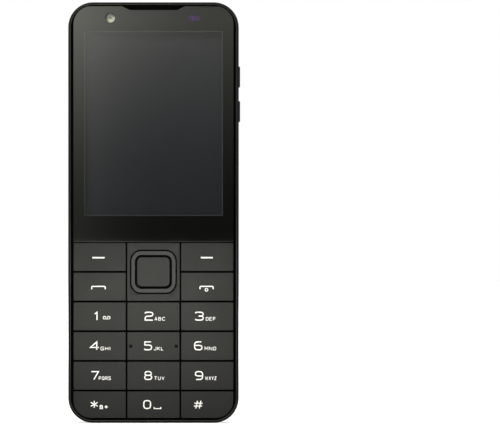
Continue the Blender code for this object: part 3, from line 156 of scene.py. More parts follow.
# Prints and patterns
CLOUD_SIZE, PRINT_BLUR, PICTURE_CELL = mm(9.0, 0.1, 0.18)
LAMP_WINDOW_RADIUS, CAMERA_WINDOW_RADIUS, CAMERA_WINDOW_STRETCH = *mm(1.52, 0.85), 2.0
LABEL_MARGIN, LABEL_STRIPE_DROP, LABEL_STRIPE = mm(2.0, 8.0, 4.0)
DISPLAY_LINE = (0.03, 0.03, 0.03)
BOARD_GREEN, BOARD_TRACK, PAD_GOLD = (0.006, 0.07, 0.03), (0.012, 0.12, 0.05), (0.75, 0.55, 0.25)
FILM_AMBER, FILM_COPPER, RUBBER_GREY = (0.35, 0.16, 0.03), (0.6, 0.3, 0.14), (0.03, 0.03, 0.03)
CASE_SILVER, LABEL_GREY, LABEL_DARK = (0.55, 0.55, 0.56), (0.3, 0.3, 0.31), (0.03, 0.03, 0.035)
BLACK, WHITE = (0, 0, 0), (1, 1, 1)
STEEL = (0.5, 0.5, 0.5)

# Moulded plastics: colour or the setting that holds it, roughness, grain in mm, and their share of
# mirrored light where it is low
PLASTICS = {
    "housing": ("housing_colour", 0.22, 0.12),
    # The deck is darker than the housing: painted shade for the gaps between the keys and round the
    # window
    "deck": ("deck_colour", 0.7, 0.12, 0.05),
    "key": ("key_colour", 0.35, 0.13),
    "surround": ("key_colour", 0.35, 0.13),
    "nav": ("nav_colour", 0.35, 0.13),
    "nav_ring": ("nav_ring_colour", 0.35, 0.13),
    "side_key": ("housing_colour", 0.36, 0.12),
    "door": ("cover_colour", 0.26, 0.16),
    "island": ("island_colour", 0.3, 0.1, 0.1),
    "bead": ("island_colour", 0.25, 0.1),
    "module": ("module_colour", 0.38, 0.1),
    "camera_module": ("module_colour", 0.35, 0.1),
    "frame": ("housing_colour", 0.5, 0.15),
    "carrier": ("housing_colour", 0.7, 0.14, 0.05),
    "tongue": ("module_colour", 0.4, 0.14),
    "contact_block": ("module_colour", 0.45, 0.14),
    "speaker": ("module_colour", 0.42, 0.14),
    "receiver": ("module_colour", 0.42, 0.14),
    "lamp_chip": ((0.22, 0.22, 0.16), 0.3, 0.14),
    "lamp_block": ((0.6, 0.6, 0.58), 0.45, 0.14),
    "light": ((0.7, 0.7, 0.69), 0.5, 0.14),
}

# Metals: colour or the setting that holds it, roughness, and how their lines are drawn out
METALS = {
    "mesh": ((0.012, 0.012, 0.012), 0.5),
    "shell": ((0.45, 0.45, 0.46), 0.3),
    "contact": (PAD_GOLD, 0.3),
    "spring": (PAD_GOLD, 0.28),
    "sim_contact": (PAD_GOLD, 0.28),
    "screw": ("screw_colour", 0.28),
    "grille": ((0.4, 0.4, 0.41), 0.38),
    "can": (STEEL, 0.34),
    "motor": (STEEL, 0.32, (6, 1, 1)),
    "pin": (STEEL, 0.25, (1, 1, 6)),
    "sheet": ("sheet_colour", 0.36, (1, 1, 5)),
    "tray": ("sheet_colour", 0.36, (1, 1, 5)),
}

# Signs: the widths of letters, and paths on a square of 1 by 1 as rows of across and up. The soft
# ones have rounded corners.
PRINT_ROOT, PRINT_STEP = mm(0.02, 0.001)
LETTER_WIDTHS = {"I": 0.32, "M": 1.2, "W": 1.4, "J": 0.9, "L": 0.85, "N": 1.05}
LETTER_GAP_SHARE = 0.3
SOFT_SIGNS = {
    "0 O Q ring": "0 0 1 0 1 1 0 1 0 0",
    "2": "0 .82 0 1 1 1 1 .5 0 .5 0 .02",
    "3": "0 .85 0 1 1 1 1 .52 .4 .52 / .4 .5 1 .5 1 0 0 0 0 .15",
    "5": ".02 .6 1 .6 1 0 0 0 0 .15",
    "6": ".9 1 0 1 0 0 1 0 1 .56 .06 .56",
    "8": ".04 .53 .04 1 .96 1 .96 .53 .04 .53 / 0 .53 1 .53 1 0 0 0 0 .53",
    "9": ".94 .44 0 .44 0 1 1 1 1 0 .1 0",
    "B": "0 1 .92 1 .92 .53 0 .53 / 0 .53 1 .53 1 0 0 0",
    "C": "1 .8 1 1 0 1 0 0 1 0 1 .2",
    "D": "0 1 1 1 1 0 0 0",
    "G": "1 .8 1 1 0 1 0 0 1 0 1 .45 .55 .45",
    "J": "1 1 1 0 0 0 0 .25",
    "P R": "0 1 1 1 1 .45 0 .45",
    "S": "1 .85 1 1 0 1 0 .52 1 .52 1 0 0 0 0 .15",
    "U": "0 1 0 0 1 0 1 1",
    "handset": "0 0 0 1 1 1 1 0",
    "lock": "0 .5 0 1 1 1 1 .5",
}
SHARP_SIGNS = {
    "1": "0 .76 .9 1 .9 0",
    "2": "0 .1 0 0 1 0",
    "4": ".74 0 .74 1 0 .3 1 .3",
    "5": ".92 1 .02 1 .02 .56",
    "7": "0 1 1 1 .36 0",
    "A": "0 0 .5 1 1 0 / .18 .33 .82 .33",
    "B D P": "0 0 0 1",
    "E": "1 1 0 1 0 0 1 0 / 0 .52 .85 .52",
    "F": "1 1 0 1 0 0 / 0 .5 .85 .5",
    "H": "0 0 0 1 / 1 0 1 1 / 0 .5 1 .5",
    "I": ".5 0 .5 1",
    "K": "0 0 0 1 / 1 1 0 .42 / .3 .6 1 0",
    "L": "0 1 0 0 1 0",
    "M": "0 0 0 1 .5 .35 1 1 1 0",
    "N": "0 0 0 1 1 0 1 1",
    "Q": ".55 .35 1.05 -.08",
    "R": "0 0 0 1 / .5 .45 1 0",
    "T": "0 1 1 1 / .5 1 .5 0",
    "V": "0 1 .5 0 1 1",
    "W": "0 1 .25 0 .5 .8 .75 0 1 1",
    "X": "0 1 1 0 / 0 0 1 1",
    "Y": "0 1 .5 .48 1 1 / .5 .48 .5 0",
    "Z": "0 1 1 1 0 0 1 0",
    "bar": "0 .5 1 .5",
    "space": "0 1 0 0 1 0 1 1",
    "spark": ".5 0 .5 1 / 0 .5 1 .5 / .5 .25 .75 .5 .5 .75 .25 .5 .5 .25",
    "star": ".5 0 .5 1 / 0 .22 1 .78 / 0 .78 1 .22",
    "hash": ".22 0 .4 1 / .62 0 .8 1 / 0 .32 .94 .32 / .06 .68 1 .68",
    "lock": "0 0 1 0 1 .5 0 .5 0 0",
}

# What each key bears: signs with left, right, foot, height and stroke, in mm from the key's middle
DIGIT = (-1.32, 2.82, 0.35)
LETTERS = (-1.32, 1.15, 0.18)
NUMBER_SIGNS = (
    ("2", -2.75, -0.02, "ABC", 0.3, 3.6),
    ("3", -3.81, -1.08, "DEF", -0.45, 2.65),
    ("4", -3.05, -0.04, "GHI", 0.27, 3.4),
    ("5", -2.9, -0.4, "JKL", 0.1, 3.1),
    ("6", -4.12, -1.46, "MNO", -0.83, 2.78),
    ("7", -2.77, -0.2, "PQRS", -0.29, 3.5),
    ("8", -2.9, -0.4, "TUV", 0.24, 3.46),
    ("9", -3.87, -1.27, "WXYZ", -0.7, 2.9),
)
KEY_LEGENDS = {
    "soft_key_left": [("bar", -2.5, 1.8, -0.42, 0.46, 0.46)],
    "soft_key_right": [("bar", -2.25, 1.95, -0.42, 0.46, 0.46)],
    "call_key": [("handset", -2.66, 1.92, -0.95, 1.24, 0.35)],
    "end_key": [
        ("handset", -2.44, 2.01, -0.95, 1.24, 0.35),
        ("ring", -0.77, 0.31, -1.5, 1.08, 0.24),
    ],
    "key_1": [
        ("1", -1.71, -0.58, *DIGIT),
        ("ring", 0.98, 2.05, -0.92, 1.05, 0.23),
        ("ring", 2.28, 3.35, -0.92, 1.05, 0.23),
        ("bar", 1.4, 2.95, -0.92, 0.23, 0.23),
    ],
    **{
        "key_" + digit: [(digit, left, right, *DIGIT), (letters, start, end, *LETTERS)]
        for digit, left, right, letters, start, end in NUMBER_SIGNS
    },
    "key_star": [
        ("star", -2.9, -0.48, -1.1, 2.5, 0.3),
        ("lock", 0.0, 1.0, -1.32, 1.25, 0.25),
        ("spark", 1.4, 2.7, -1.3, 1.3, 0.24),
    ],
    "key_0": [("0", -3.18, -0.74, *DIGIT), ("space", 0.08, 2.43, -1.32, 0.8, 0.26)],
    "key_hash": [("hash", -4.3, -1.3, -1.32, 2.75, 0.32)],
}

# Stage and camera
FLOOR_REACH, FLOOR_NEAR, FLOOR_FADE = 3.0, 0.3, 0.5
CARD_DISTANCE = 0.114
CARD_LOW, CARD_HIGH = (-0.0335, -0.007), (0.029, 0.1385)
CARD_SPLIT, CARD_KEYS_FADE, CARD_KEYS_TOP = 0.0555, 0.03, 0.034
CARD_KEYS_LEVEL, CARD_KEYS_SIDES, CARD_KEYS_UPPER = 0.85, 0.4, 0.95
REAR_CARD_LOW, REAR_CARD_HIGH = (-0.0235, -0.028), (0.0235, 0.136)
REAR_CARD_PEAK, REAR_CARD_RISE, REAR_CARD_FALL = 0.084, 0.06, 0.101
REAR_CARD_LEAST, REAR_CARD_TILT, REAR_CARD_SIDES, REAR_CARD_SHARE = 0.33, 0.34, 0.24, 0.8
SIDE_LIGHT_EDGE, SIDE_LIGHT_BLUR = 0.62, 0.3
CAMERA_PLACE, CAMERA_SENSOR, CAMERA_FAR = (0.03018, -1.5, 0.06531), 36.0, 20
LAMP_SIDE = 0.9
LAMPS = {
    "front_lamp": ((-0.7, -1.2, 1.3), (1.0, 0.99, 0.97)),
    "rear_lamp": ((0.5, 1.3, 1.4), (1.0, 1.0, 1.0)),
}

CORNER_STEPS, SMALL_STEPS, ROUND_STEPS, SHARP_ANGLE = 20, 6, 64, 32
TURN_TO = {
    "X": Matrix(((0, 0, 1, 0), (1, 0, 0, 0), (0, 1, 0, 0), (0, 0, 0, 1))),
    "Y": Matrix(((1, 0, 0, 0), (0, 0, -1, 0), (0, 1, 0, 0), (0, 0, 0, 1))),
    "Z": Matrix.Identity(4),
}


# Shader nodes


def arithmetic(operation, mirrored=False):
    """An operator that adds a Math node, with its inputs swapped in the reflected form."""

    def apply(self, other):
        return self.math(operation, *((other, self) if mirrored else (self, other)))

    return apply


class Wire:
    """A shader node's output. Arithmetic on it adds Math nodes to its tree."""

    def __init__(self, tree, socket=None):
        self.tree = tree
        self.socket = socket

    def node(self, kind, settings=None, inputs=None, output=0):
        """Adds a node of this kind, sets it up, fills its sockets and gives one of its outputs."""
        made = self.tree.nodes.new(kind)
        for name, value in (settings or {}).items():
            setattr(made, name, value)
        for name, value in (inputs or {}).items():
            if isinstance(value, Wire):
                self.tree.links.new(value.socket, made.inputs[name])
            elif made.inputs[name].type == "RGBA":
                made.inputs[name].default_value = (*value[:3], 1)
            else:
                made.inputs[name].default_value = value
        return Wire(self.tree, made.outputs[output])

    def others(self, *names):
        """More outputs of the same node."""
        return [Wire(self.tree, self.socket.node.outputs[name]) for name in names]

    def math(self, operation, *values):
        return self.node("ShaderNodeMath", {"operation": operation}, dict(enumerate(values)))

    __add__, __radd__ = arithmetic("ADD"), arithmetic("ADD", True)
    __sub__, __rsub__ = arithmetic("SUBTRACT"), arithmetic("SUBTRACT", True)
    __mul__, __rmul__ = arithmetic("MULTIPLY"), arithmetic("MULTIPLY", True)
    __truediv__, __rtruediv__ = arithmetic("DIVIDE"), arithmetic("DIVIDE", True)
    __pow__ = arithmetic("POWER")
    smallest, largest = arithmetic("MINIMUM"), arithmetic("MAXIMUM")

    def __abs__(self):
        return self.math("ABSOLUTE", self)

    def wave(self):
        return self.math("SINE", self)

    def clipped(self):
        """The value held between 0 and 1."""
        return self.node("ShaderNodeClamp", inputs={"Value": self})

    def above(self, edge, softness):
        """0 below an edge and 1 above it, with a ramp this wide between them."""
        return ((self - edge) / softness + 0.5).clipped()

    def mixed(self, low, high):
        """A colour from low to high as this value goes from 0 to 1."""
        inputs = {0: self, 6: low, 7: high}
        return self.node("ShaderNodeMix", {"data_type": "RGBA"}, inputs, output=2)


def distance(across, along):
    return (across * across + along * along) ** 0.5


class Finish:
    """A material under construction, with the node outputs that most finishes start from."""

    def __init__(self, name, colour, roughness, metallic=0.0):
        self.material = bpy.data.materials.new(name)
        self.material.use_nodes = True
        self.tree = self.material.node_tree
        self.shader = self.tree.nodes["Principled BSDF"]
        self.start = Wire(self.tree)
        self.place = self.start.node("ShaderNodeTexCoord", output="Object")
        self.constant("Base Color", (*colour, 1)).constant("Roughness", roughness)
        self.constant("Metallic", metallic)
        self.colour = colour

    def constant(self, name, value):
        self.shader.inputs[name].default_value = value
        return self

    def link(self, name, wire):
        self.tree.links.new(wire.socket, self.shader.inputs[name])
        return self

    def axes(self):
        """Across, depth and height of a point, each as a number in metres."""
        split = self.start.node("ShaderNodeSeparateXYZ", inputs={"Vector": self.place})
        return split.others(*"XYZ")

    def noise(self, size, detail=2.0, stretch=(1, 1, 1)):
        """Noise from 0 to 1 whose blots are about this large, drawn out if stretched."""
        settings = {"operation": "MULTIPLY"}
        scaled = self.start.node("ShaderNodeVectorMath", settings, {0: self.place, 1: stretch})
        inputs = {"Vector": scaled, "Scale": 1 / size, "Detail": detail}
        return self.start.node("ShaderNodeTexNoise", inputs=inputs)

    def cells(self, size, settings=None, **inputs):
        """Distance to the nearest of scattered points about this far apart."""
        inputs = {"Vector": self.place, "Scale": 1 / size, **inputs}
        return self.start.node("ShaderNodeTexVoronoi", settings, inputs)

    def relief(self, height, depth):
        """Raises and sinks the surface in its shading by up to this depth."""
        inputs = {"Height": height, "Distance": depth, "Strength": 1.0}
        return self.link("Normal", self.start.node("ShaderNodeBump", inputs=inputs))

    def vary(self, share, spread):
        """Lets the colour drift by this share to both sides."""
        high = [min(part * (1 + spread), 1) for part in self.colour]
        return self.link("Base Color", share.mixed(toned(self.colour, 1 - spread), high))

    def glow(self, share, colour, strength):
        """Lets a stage surface without gloss give light."""
        self.link("Emission Color", share.mixed(BLACK, colour))
        return self.constant("Emission Strength", strength).constant("Specular IOR Level", 0.0)


def toned(colour, share):
    return [part * share for part in colour]


# Outlines, as lists of points on a plane


def turns(steps, share=1.0):
    """Angles at even steps round this share of a circle."""
    return [2 * math.pi * share * step / steps for step in range(steps + (share < 1))]


def rounded(width, height, radii, centre=(0, 0), steps=CORNER_STEPS):
    """A rounded rectangle, counter-clockwise, with its radii from the lower right corner on."""
    if not isinstance(radii, (tuple, list)):
        radii = [radii] * 4
    corners = ((1, -1, -90), (1, 1, 0), (-1, 1, 90), (-1, -1, 180))
    points = []
    for (side, end, start), radius in zip(corners, radii):
        x = centre[0] + side * (width / 2 - radius)
        y = centre[1] + end * (height / 2 - radius)
        for step in range(steps + 1):
            angle = math.radians(start + 90 * step / steps)
            points.append((x + radius * math.cos(angle), y + radius * math.sin(angle)))
    return points


def rounded_at(width, height, radii, centre, steps=SMALL_STEPS):
    """A rounded rectangle as a function of how far inside this size it runs."""
    if not isinstance(radii, (tuple, list)):
        radii = [radii] * 4

    def outline(inset):
        smaller = [max(radius - inset, MM / 20) for radius in radii]
        return rounded(width - 2 * inset, height - 2 * inset, smaller, centre, steps)

    return outline


def box_outline(width, height, centre=(0, 0)):
    sides = ((1, -1), (1, 1), (-1, 1), (-1, -1))
    return [(centre[0] + x * width / 2, centre[1] + y * height / 2) for x, y in sides]


def circle(radius, centre=(0, 0), steps=ROUND_STEPS):
    x, y = centre
    return [(x + radius * math.cos(a), y + radius * math.sin(a)) for a in turns(steps)]


def body_outline(inset):
    """The outline of the body seen from the front, this far inside its surface."""
    size = (2 * (SIDE_X - inset), LENGTH - 2 * inset)
    return rounded(*size, BODY_CORNER - inset, (0, MIDDLE_Z))


def pill_outline(inset):
    width, height = [side - 2 * inset for side in PILL_SIZE]
    return rounded(width, height, width / 2 * PILL_ROUND_SHARE, (0, PILL_Z), ROUND_STEPS // 3)


def at_depth(outline, y):
    return [(x, y, z) for x, z in outline]


def quarter_round(radius, steps):
    """Insets and drops round a quarter of an edge, from the face to the side."""
    angles = turns(steps, 0.25)
    return [(radius * (1 - math.sin(a)), radius * (1 - math.cos(a))) for a in angles]


def edge_sections(outline_at, y, radius, steps=4, side=1):
    """Sections round the edge of a front face (side 1) or a rear one (side -1), front to back."""
    edge = quarter_round(radius, steps)
    return [at_depth(outline_at(inset), y + side * drop) for inset, drop in edge][::side]


def grid(columns, rows, pitch_x, pitch_z, centre=(0, 0)):
    """Places in columns and rows round a middle."""
    for column in range(columns):
        for row in range(rows):
            x = centre[0] + (column - (columns - 1) / 2) * pitch_x
            yield x, centre[1] + (row - (rows - 1) / 2) * pitch_z


# Meshes


def link_item(name, data):
    item = bpy.data.objects.new(name, data)
    bpy.context.scene.collection.objects.link(item)
    return item


def mesh_piece(name, shape, outwards=True):
    """Makes an object from a bmesh, with its faces pointing out."""
    if outwards:
        bmesh.ops.recalc_face_normals(shape, faces=shape.faces)
    mesh = bpy.data.meshes.new(name)
    shape.to_mesh(mesh)
    shape.free()
    return link_item(name, mesh)


def skinned(shape, rings, ring_round):
    """Fills the faces between rings of vertices, and those from the last to the first if wanted."""
    pairs = list(zip(rings, rings[1:] + rings[:1] if ring_round else rings[1:]))
    for near, far in pairs:
        for here in range(len(near)):
            there = (here + 1) % len(near)
            face = list(dict.fromkeys((near[here], near[there], far[there], far[here])))
            if len(face) > 2:
                shape.faces.new(face)


def add_loft(shape, sections, hollow=False):
    """Skins sections of equally many points. A hollow one runs back to its first section."""
    rings = [[shape.verts.new(point) for point in section] for section in sections]
    skinned(shape, rings, hollow)
    if not hollow:
        shape.faces.new(rings[0])
        shape.faces.new(rings[-1])


def loft(name, sections, hollow=False):
    shape = bmesh.new()
    add_loft(shape, sections, hollow)
    return mesh_piece(name, shape)


def extruded(name, outlines, start, end, axis="Y"):
    """A flat outline with its holes, given thickness along an axis from start to end."""
    curve = bpy.data.curves.new(name, "CURVE")
    curve.dimensions = "2D"
    curve.fill_mode = "BOTH"
    curve.extrude = (end - start) / 2
    for outline in outlines:
        spline = curve.splines.new("POLY")
        spline.points.add(len(outline) - 1)
        for point, place in zip(spline.points, outline):
            point.co = (*place, 0, 1)
        spline.use_cyclic_u = True
    guide = link_item(name, curve)
    middle = Vector([(start + end) / 2 if letter == axis else 0 for letter in "XYZ"])
    graph = bpy.context.evaluated_depsgraph_get()
    mesh = bpy.data.meshes.new_from_object(guide.evaluated_get(graph))
    mesh.transform(Matrix.Translation(middle) @ TURN_TO[axis])
    bpy.data.objects.remove(guide, do_unlink=True)
    bpy.data.curves.remove(curve)
    shape = bmesh.new()
    shape.from_mesh(mesh)
    bmesh.ops.remove_doubles(shape, verts=shape.verts, dist=MM / 1000)
    bpy.data.meshes.remove(mesh)
    return mesh_piece(name, shape)


def turned(name, profile, place, axis="Y", steps=ROUND_STEPS):
    """Turns a profile of radius and place along an axis into a closed solid of revolution."""
    shape = bmesh.new()
    start = Matrix.Translation(place) @ TURN_TO[axis]
    side = -1 if axis == "Y" else 1
    rings = []
    for radius, height in profile:
        points = [(radius * math.cos(a), radius * math.sin(a), side * height) for a in turns(steps)]
        if radius == 0:
            rings.append([shape.verts.new(start @ Vector(points[0]))] * steps)
        else:
            rings.append([shape.verts.new(start @ Vector(point)) for point in points])
    skinned(shape, rings, bool(profile[0][0] and profile[-1][0]))
    return mesh_piece(name, shape)


def settled(item):
    """Turns a piece's modifiers into its mesh."""
    graph = bpy.context.evaluated_depsgraph_get()
    mesh = bpy.data.meshes.new_from_object(item.evaluated_get(graph))
    item.modifiers.clear()
    item.data = mesh
    return item


def combine(item, others, operation, solver="EXACT"):
    """Joins or cuts with helpers, which are then removed."""
    for other in others:
        step = item.modifiers.new(other.name, "BOOLEAN")
        step.operation = operation
        step.solver = solver
        step.object = other
        settled(item)
        bpy.data.objects.remove(other, do_unlink=True)


def carved(item, *others, solver="EXACT"):
    combine(item, others, "DIFFERENCE", solver)


def recessed(item, name, outline, floor, top):
    """Sinks an outline into a piece's rear face, down to a floor."""
    carved(item, extruded(name, [outline], floor, top + CUT_OVERRUN))


def gathered(item, *others):
    """Puts separate closed shapes into one piece, which keeps the first one's name."""
    shape = bmesh.new()
    for part in (item, *others):
        shape.from_mesh(part.data)
    for other in others:
        bpy.data.objects.remove(other, do_unlink=True)
    shape.to_mesh(item.data)
    shape.free()
    return item


def softened(item, width, segments=2, angle=40):
    """Rounds a piece's sharp edges."""
    step = item.modifiers.new("rounded_edges", "BEVEL")
    step.width = width
    step.segments = segments
    step.limit_method = "ANGLE"
    step.angle_limit = math.radians(angle)
    step.harden_normals = False
    return settled(item)


def dressed(item, finish, slot, *nodes, body="root"):
    """Gives a piece its finish, the nodes it stands for and the body it rides on.

    It is shaded smooth between its sharp edges, with its flat faces kept flat.
    """
    item.data.materials.clear()
    item.data.materials.append(finish.material)
    item.data.shade_smooth()
    item.data.set_sharp_from_angle(angle=math.radians(SHARP_ANGLE))
    item.modifiers.new("flat_faces", "WEIGHTED_NORMAL").keep_sharp = True
    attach(item, body)
    if nodes:
        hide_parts(*nodes)


def repainted(finish, *nodes):
    """Gives nodes of the frame, whose shapes are right, a finer material."""
    for name in nodes:
        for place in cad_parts[name].material_slots:
            place.material = finish.material


def slab(name, node, corner, edge, rear_edge=None, front=None, back=None, steps=SMALL_STEPS):
    """A node's box with rounded corners and edges, or a part of its depth."""
    box = Box(node)
    outline_at = rounded_at(box.width, box.height, corner, box.flat, steps)
    front = box.front if front is None else front
    back = box.back if back is None else back
    sections = edge_sections(outline_at, front, edge)
    return loft(name, sections + edge_sections(outline_at, back, rear_edge or edge, side=-1))


# Finishes


def moulded(name, colour, roughness, grain, depth, drift=0.12):
    """Moulded plastic with a fine grain, faint clouding and slightly uneven gloss."""
    finish = Finish(name, colour, roughness)
    fine = finish.noise(grain, 3.0)
    clouds = finish.noise(CLOUD_SIZE)
    finish.vary(fine * 0.65 + clouds * 0.35, drift)
    finish.link("Roughness", roughness - 0.05 + clouds * 0.1)
    return finish.relief(fine, depth)


def plastic(sizes, name):
    """One of the moulded plastics in the table."""
    colour, roughness, grain, *mirrored = PLASTICS[name]
    if isinstance(colour, str):
        colour = getattr(sizes, colour)
    finish = moulded(name + "_finish", colour, roughness, grain * MM, sizes.grain_depth)
    for share in mirrored:
        finish.constant("Specular IOR Level", share)
    return finish


def metal(sizes, name):
    """A metal of the table, with fine lines from rolling or turning and a few duller patches."""
    colour, roughness, *stretch = METALS[name]
    if isinstance(colour, str):
        colour = getattr(sizes, colour)
    finish = Finish(name + "_finish", colour, roughness, 1.0)
    lines = finish.noise(0.2 * MM, 3.0, *stretch)
    clouds = finish.noise(CLOUD_SIZE / 2)
    finish.vary(lines * 0.5 + clouds * 0.5, 0.12)
    finish.link("Roughness", roughness - 0.06 + clouds * 0.14)
    return finish.relief(lines, 0.002 * MM)


def window_finish(sizes):
    """Glass printed black on its back, open over the display, the lamp and the camera."""
    finish = Finish("window_finish", sizes.print_colour, 0.035)
    x, y, z = finish.axes()
    side = DISPLAY_HALF_WIDTH - abs(x)
    inside = side.smallest(z - DISPLAY_BOTTOM).smallest(DISPLAY_TOP - z)
    display = inside.above(0, PRINT_BLUR)
    lamp_x, lamp_z = Box("front_flash_lens").flat
    camera_x, camera_z = Box("front_camera").flat
    lamp = 1 - distance(x - lamp_x, z - lamp_z).above(LAMP_WINDOW_RADIUS, PRINT_BLUR)
    away = distance((x - camera_x) / CAMERA_WINDOW_STRETCH, z - camera_z)
    camera = 1 - away.above(CAMERA_WINDOW_RADIUS, 5 * PRINT_BLUR)
    clear = display * sizes.display_clearness + lamp * 0.95 + camera * 0.2
    behind = y.above(WINDOW.middle.y, MM / 10)
    opening = (display + lamp + camera).clipped() * behind
    finish.link("Alpha", 1 - clear.largest(opening))
    finish.link("Coat Weight", display * sizes.display_gloss)
    finish.constant("Coat Roughness", 0.03)
    smears = finish.noise(CLOUD_SIZE, 2.0, (1, 1, 0.5))
    finish.link("Roughness", 0.025 + smears * 0.03)
    ink = smears.mixed(toned(sizes.print_colour, 0.8), toned(sizes.print_colour, 1.2))
    line = 1 - abs(inside - PRINT_BLUR).above(1.2 * PRINT_BLUR, PRINT_BLUR)
    ink = line.mixed(ink, DISPLAY_LINE)
    # Over the front camera the glass's colour is a painted reflection: the violet sheen of the
    # camera's coating
    return finish.link("Base Color", camera.mixed(ink, sizes.camera_tint))


def panel_finish(sizes):
    """The unlit display: dark glossy film over a fine grid of picture cells."""
    finish = Finish("lcd_finish", sizes.panel_colour, 0.12)
    x, _, z = finish.axes()
    waves = [(along * (2 * math.pi / PICTURE_CELL)).wave() for along in (x, z)]
    share = waves[0] * waves[1] * 0.25 + 0.5
    finish.vary(share, 0.08)
    finish.link("Roughness", 0.09 + finish.noise(CLOUD_SIZE) * 0.06)
    return finish.relief(share, 0.0005 * MM)


def board_finish():
    """A circuit board: green lacquer over copper tracks, with tinned pads and plated holes."""
    finish = Finish("board_finish", BOARD_GREEN, 0.42)
    track = 1 - finish.cells(2.4 * MM, {"feature": "DISTANCE_TO_EDGE"}).above(0.06, 0.03)
    pad = 1 - finish.cells(1.3 * MM, Randomness=0.35).above(0.16, 0.03)
    green = track.mixed(BOARD_GREEN, BOARD_TRACK)
    finish.link("Base Color", pad.mixed(green, PAD_GOLD)).link("Metallic", pad)
    finish.link("Roughness", 0.42 - pad * 0.12)
    return finish.relief(track + pad, 0.03 * MM)


def film_finish():
    """Amber film with copper lines under it, as on bendable strips and dome sheets."""
    finish = Finish("film_finish", FILM_AMBER, 0.32)
    _, y, z = finish.axes()
    line = ((z + y) * (2 * math.pi / (0.8 * MM))).wave().above(0.3, 0.3)
    finish.link("Base Color", line.mixed(FILM_AMBER, FILM_COPPER))
    finish.link("Roughness", 0.28 + finish.noise(2 * MM) * 0.12)
    return finish.relief(line, 0.02 * MM)


def rubber_finish():
    """Silicone rubber: soft, dusty and almost without gloss."""
    finish = moulded("rubber_finish", RUBBER_GREY, 0.82, 0.3 * MM, 0.01 * MM, 0.18)
    return finish.constant("Sheen Weight", 0.15).constant("Sheen Roughness", 0.6)


def lens_finish(name, colour, clearness, roughness=0.03):
    """A clear part that lets most of the light through."""
    finish = Finish(name, colour, roughness)
    spots = finish.noise(1.5 * MM)
    finish.link("Roughness", roughness * 0.6 + spots * roughness)
    return finish.link("Alpha", 1 - clearness + spots * 0.04)


def lamp_finish(name, colour):
    """A flash lamp's moulded lens, milky from its facets."""
    finish = Finish(name, colour, 0.18)
    facets = finish.cells(0.55 * MM)
    spots = finish.noise(0.9 * MM, 1.0)
    dull = (facets * 0.8 + spots * 0.6 - 0.35).clipped()
    finish.link("Base Color", dull.mixed(colour, toned(colour, 0.4)))
    finish.link("Roughness", 0.1 + spots * 0.2)
    return finish.relief(facets, 0.05 * MM)


def label_finish():
    """A battery's foil case with a blank printed label over most of its back."""
    finish = Finish("battery_finish", CASE_SILVER, 0.38)
    box = Box("battery")
    x, _, z = finish.axes()
    side = box.width / 2 - LABEL_MARGIN - abs(x - box.middle.x)
    end = box.height / 2 - LABEL_MARGIN - abs(z - box.middle.z)
    label = side.smallest(end).above(0, 0.05 * MM)
    away = abs(z - (box.high.z - LABEL_STRIPE_DROP))
    paper = (1 - away.above(LABEL_STRIPE / 2, 0.05 * MM)).mixed(LABEL_GREY, LABEL_DARK)
    finish.link("Base Color", label.mixed(CASE_SILVER, paper)).link("Metallic", 1 - label)
    wrinkles = finish.noise(3 * MM, 3.0)
    finish.link("Roughness", 0.3 + wrinkles * 0.2 + label * 0.12)
    return finish.relief(wrinkles * 0.4 + label, 0.03 * MM)


def print_finish(sizes):
    """The off-white paint of the legends."""
    finish = Finish("legend_finish", sizes.legend_colour, 0.55)
    speckle = finish.noise(0.25 * MM)
    return finish.vary(speckle, 0.06).relief(speckle, 0.003 * MM)


def ring_finish(sizes):
    """Matt lacquered metal with faint lines."""
    finish = Finish("ring_finish", sizes.ring_colour, 0.34)
    lines = finish.noise(0.25 * MM, 3.0)
    return finish.vary(lines, 0.04).link("Roughness", 0.3 + lines * 0.1).relief(lines, 0.002 * MM)


def pupil_finish(sizes, x, z):
    """The camera's inner lens, with a dark ring round its pupil."""
    finish = Finish("module_lens_finish", sizes.lens_colour, 0.16)
    across, _, along = finish.axes()
    away = distance(across - x, along - z)
    ring = away.above(0.38 * MM, 0.06 * MM) - away.above(0.72 * MM, 0.06 * MM)
    finish.link("Base Color", ring.mixed(sizes.lens_colour, toned(sizes.lens_colour, 0.06)))
    return finish.link("Roughness", 0.12 + finish.noise(0.8 * MM) * 0.1)


# Body and window


def grown(node, gap, corner=0.0):
    """A node's outline seen from the front, this far outside it."""
    box = Box(node)
    size = (box.width + 2 * gap, box.height + 2 * gap)
    if corner:
        return rounded(*size, corner, box.flat, SMALL_STEPS)
    return box_outline(*size, box.flat)


def rim_profile(sizes):
    """Insets and depths round the section of the side wall, from its outer face inwards."""
    edge = quarter_round(sizes.rim_round, 10)[::-1]
    profile = [(inset, FRONT_Y + drop) for inset, drop in edge]
    edge = quarter_round(sizes.rim_inner_round, 4)
    profile += [(RIM_WIDTH - inset, FRONT_Y + drop) for inset, drop in edge]
    outer, inner = SEAM_LIP
    profile += [(RIM_WIDTH, DECK_MIDDLE_Y), (SIDE_WALL, DECK_MIDDLE_Y), (SIDE_WALL, HOUSING_BACK_Y)]
    profile += [(inner, HOUSING_BACK_Y), (inner, COVER_FRONT_Y), (outer, COVER_FRONT_Y)]
    return [*profile, (outer, HOUSING_BACK_Y), (0, HOUSING_BACK_Y)]


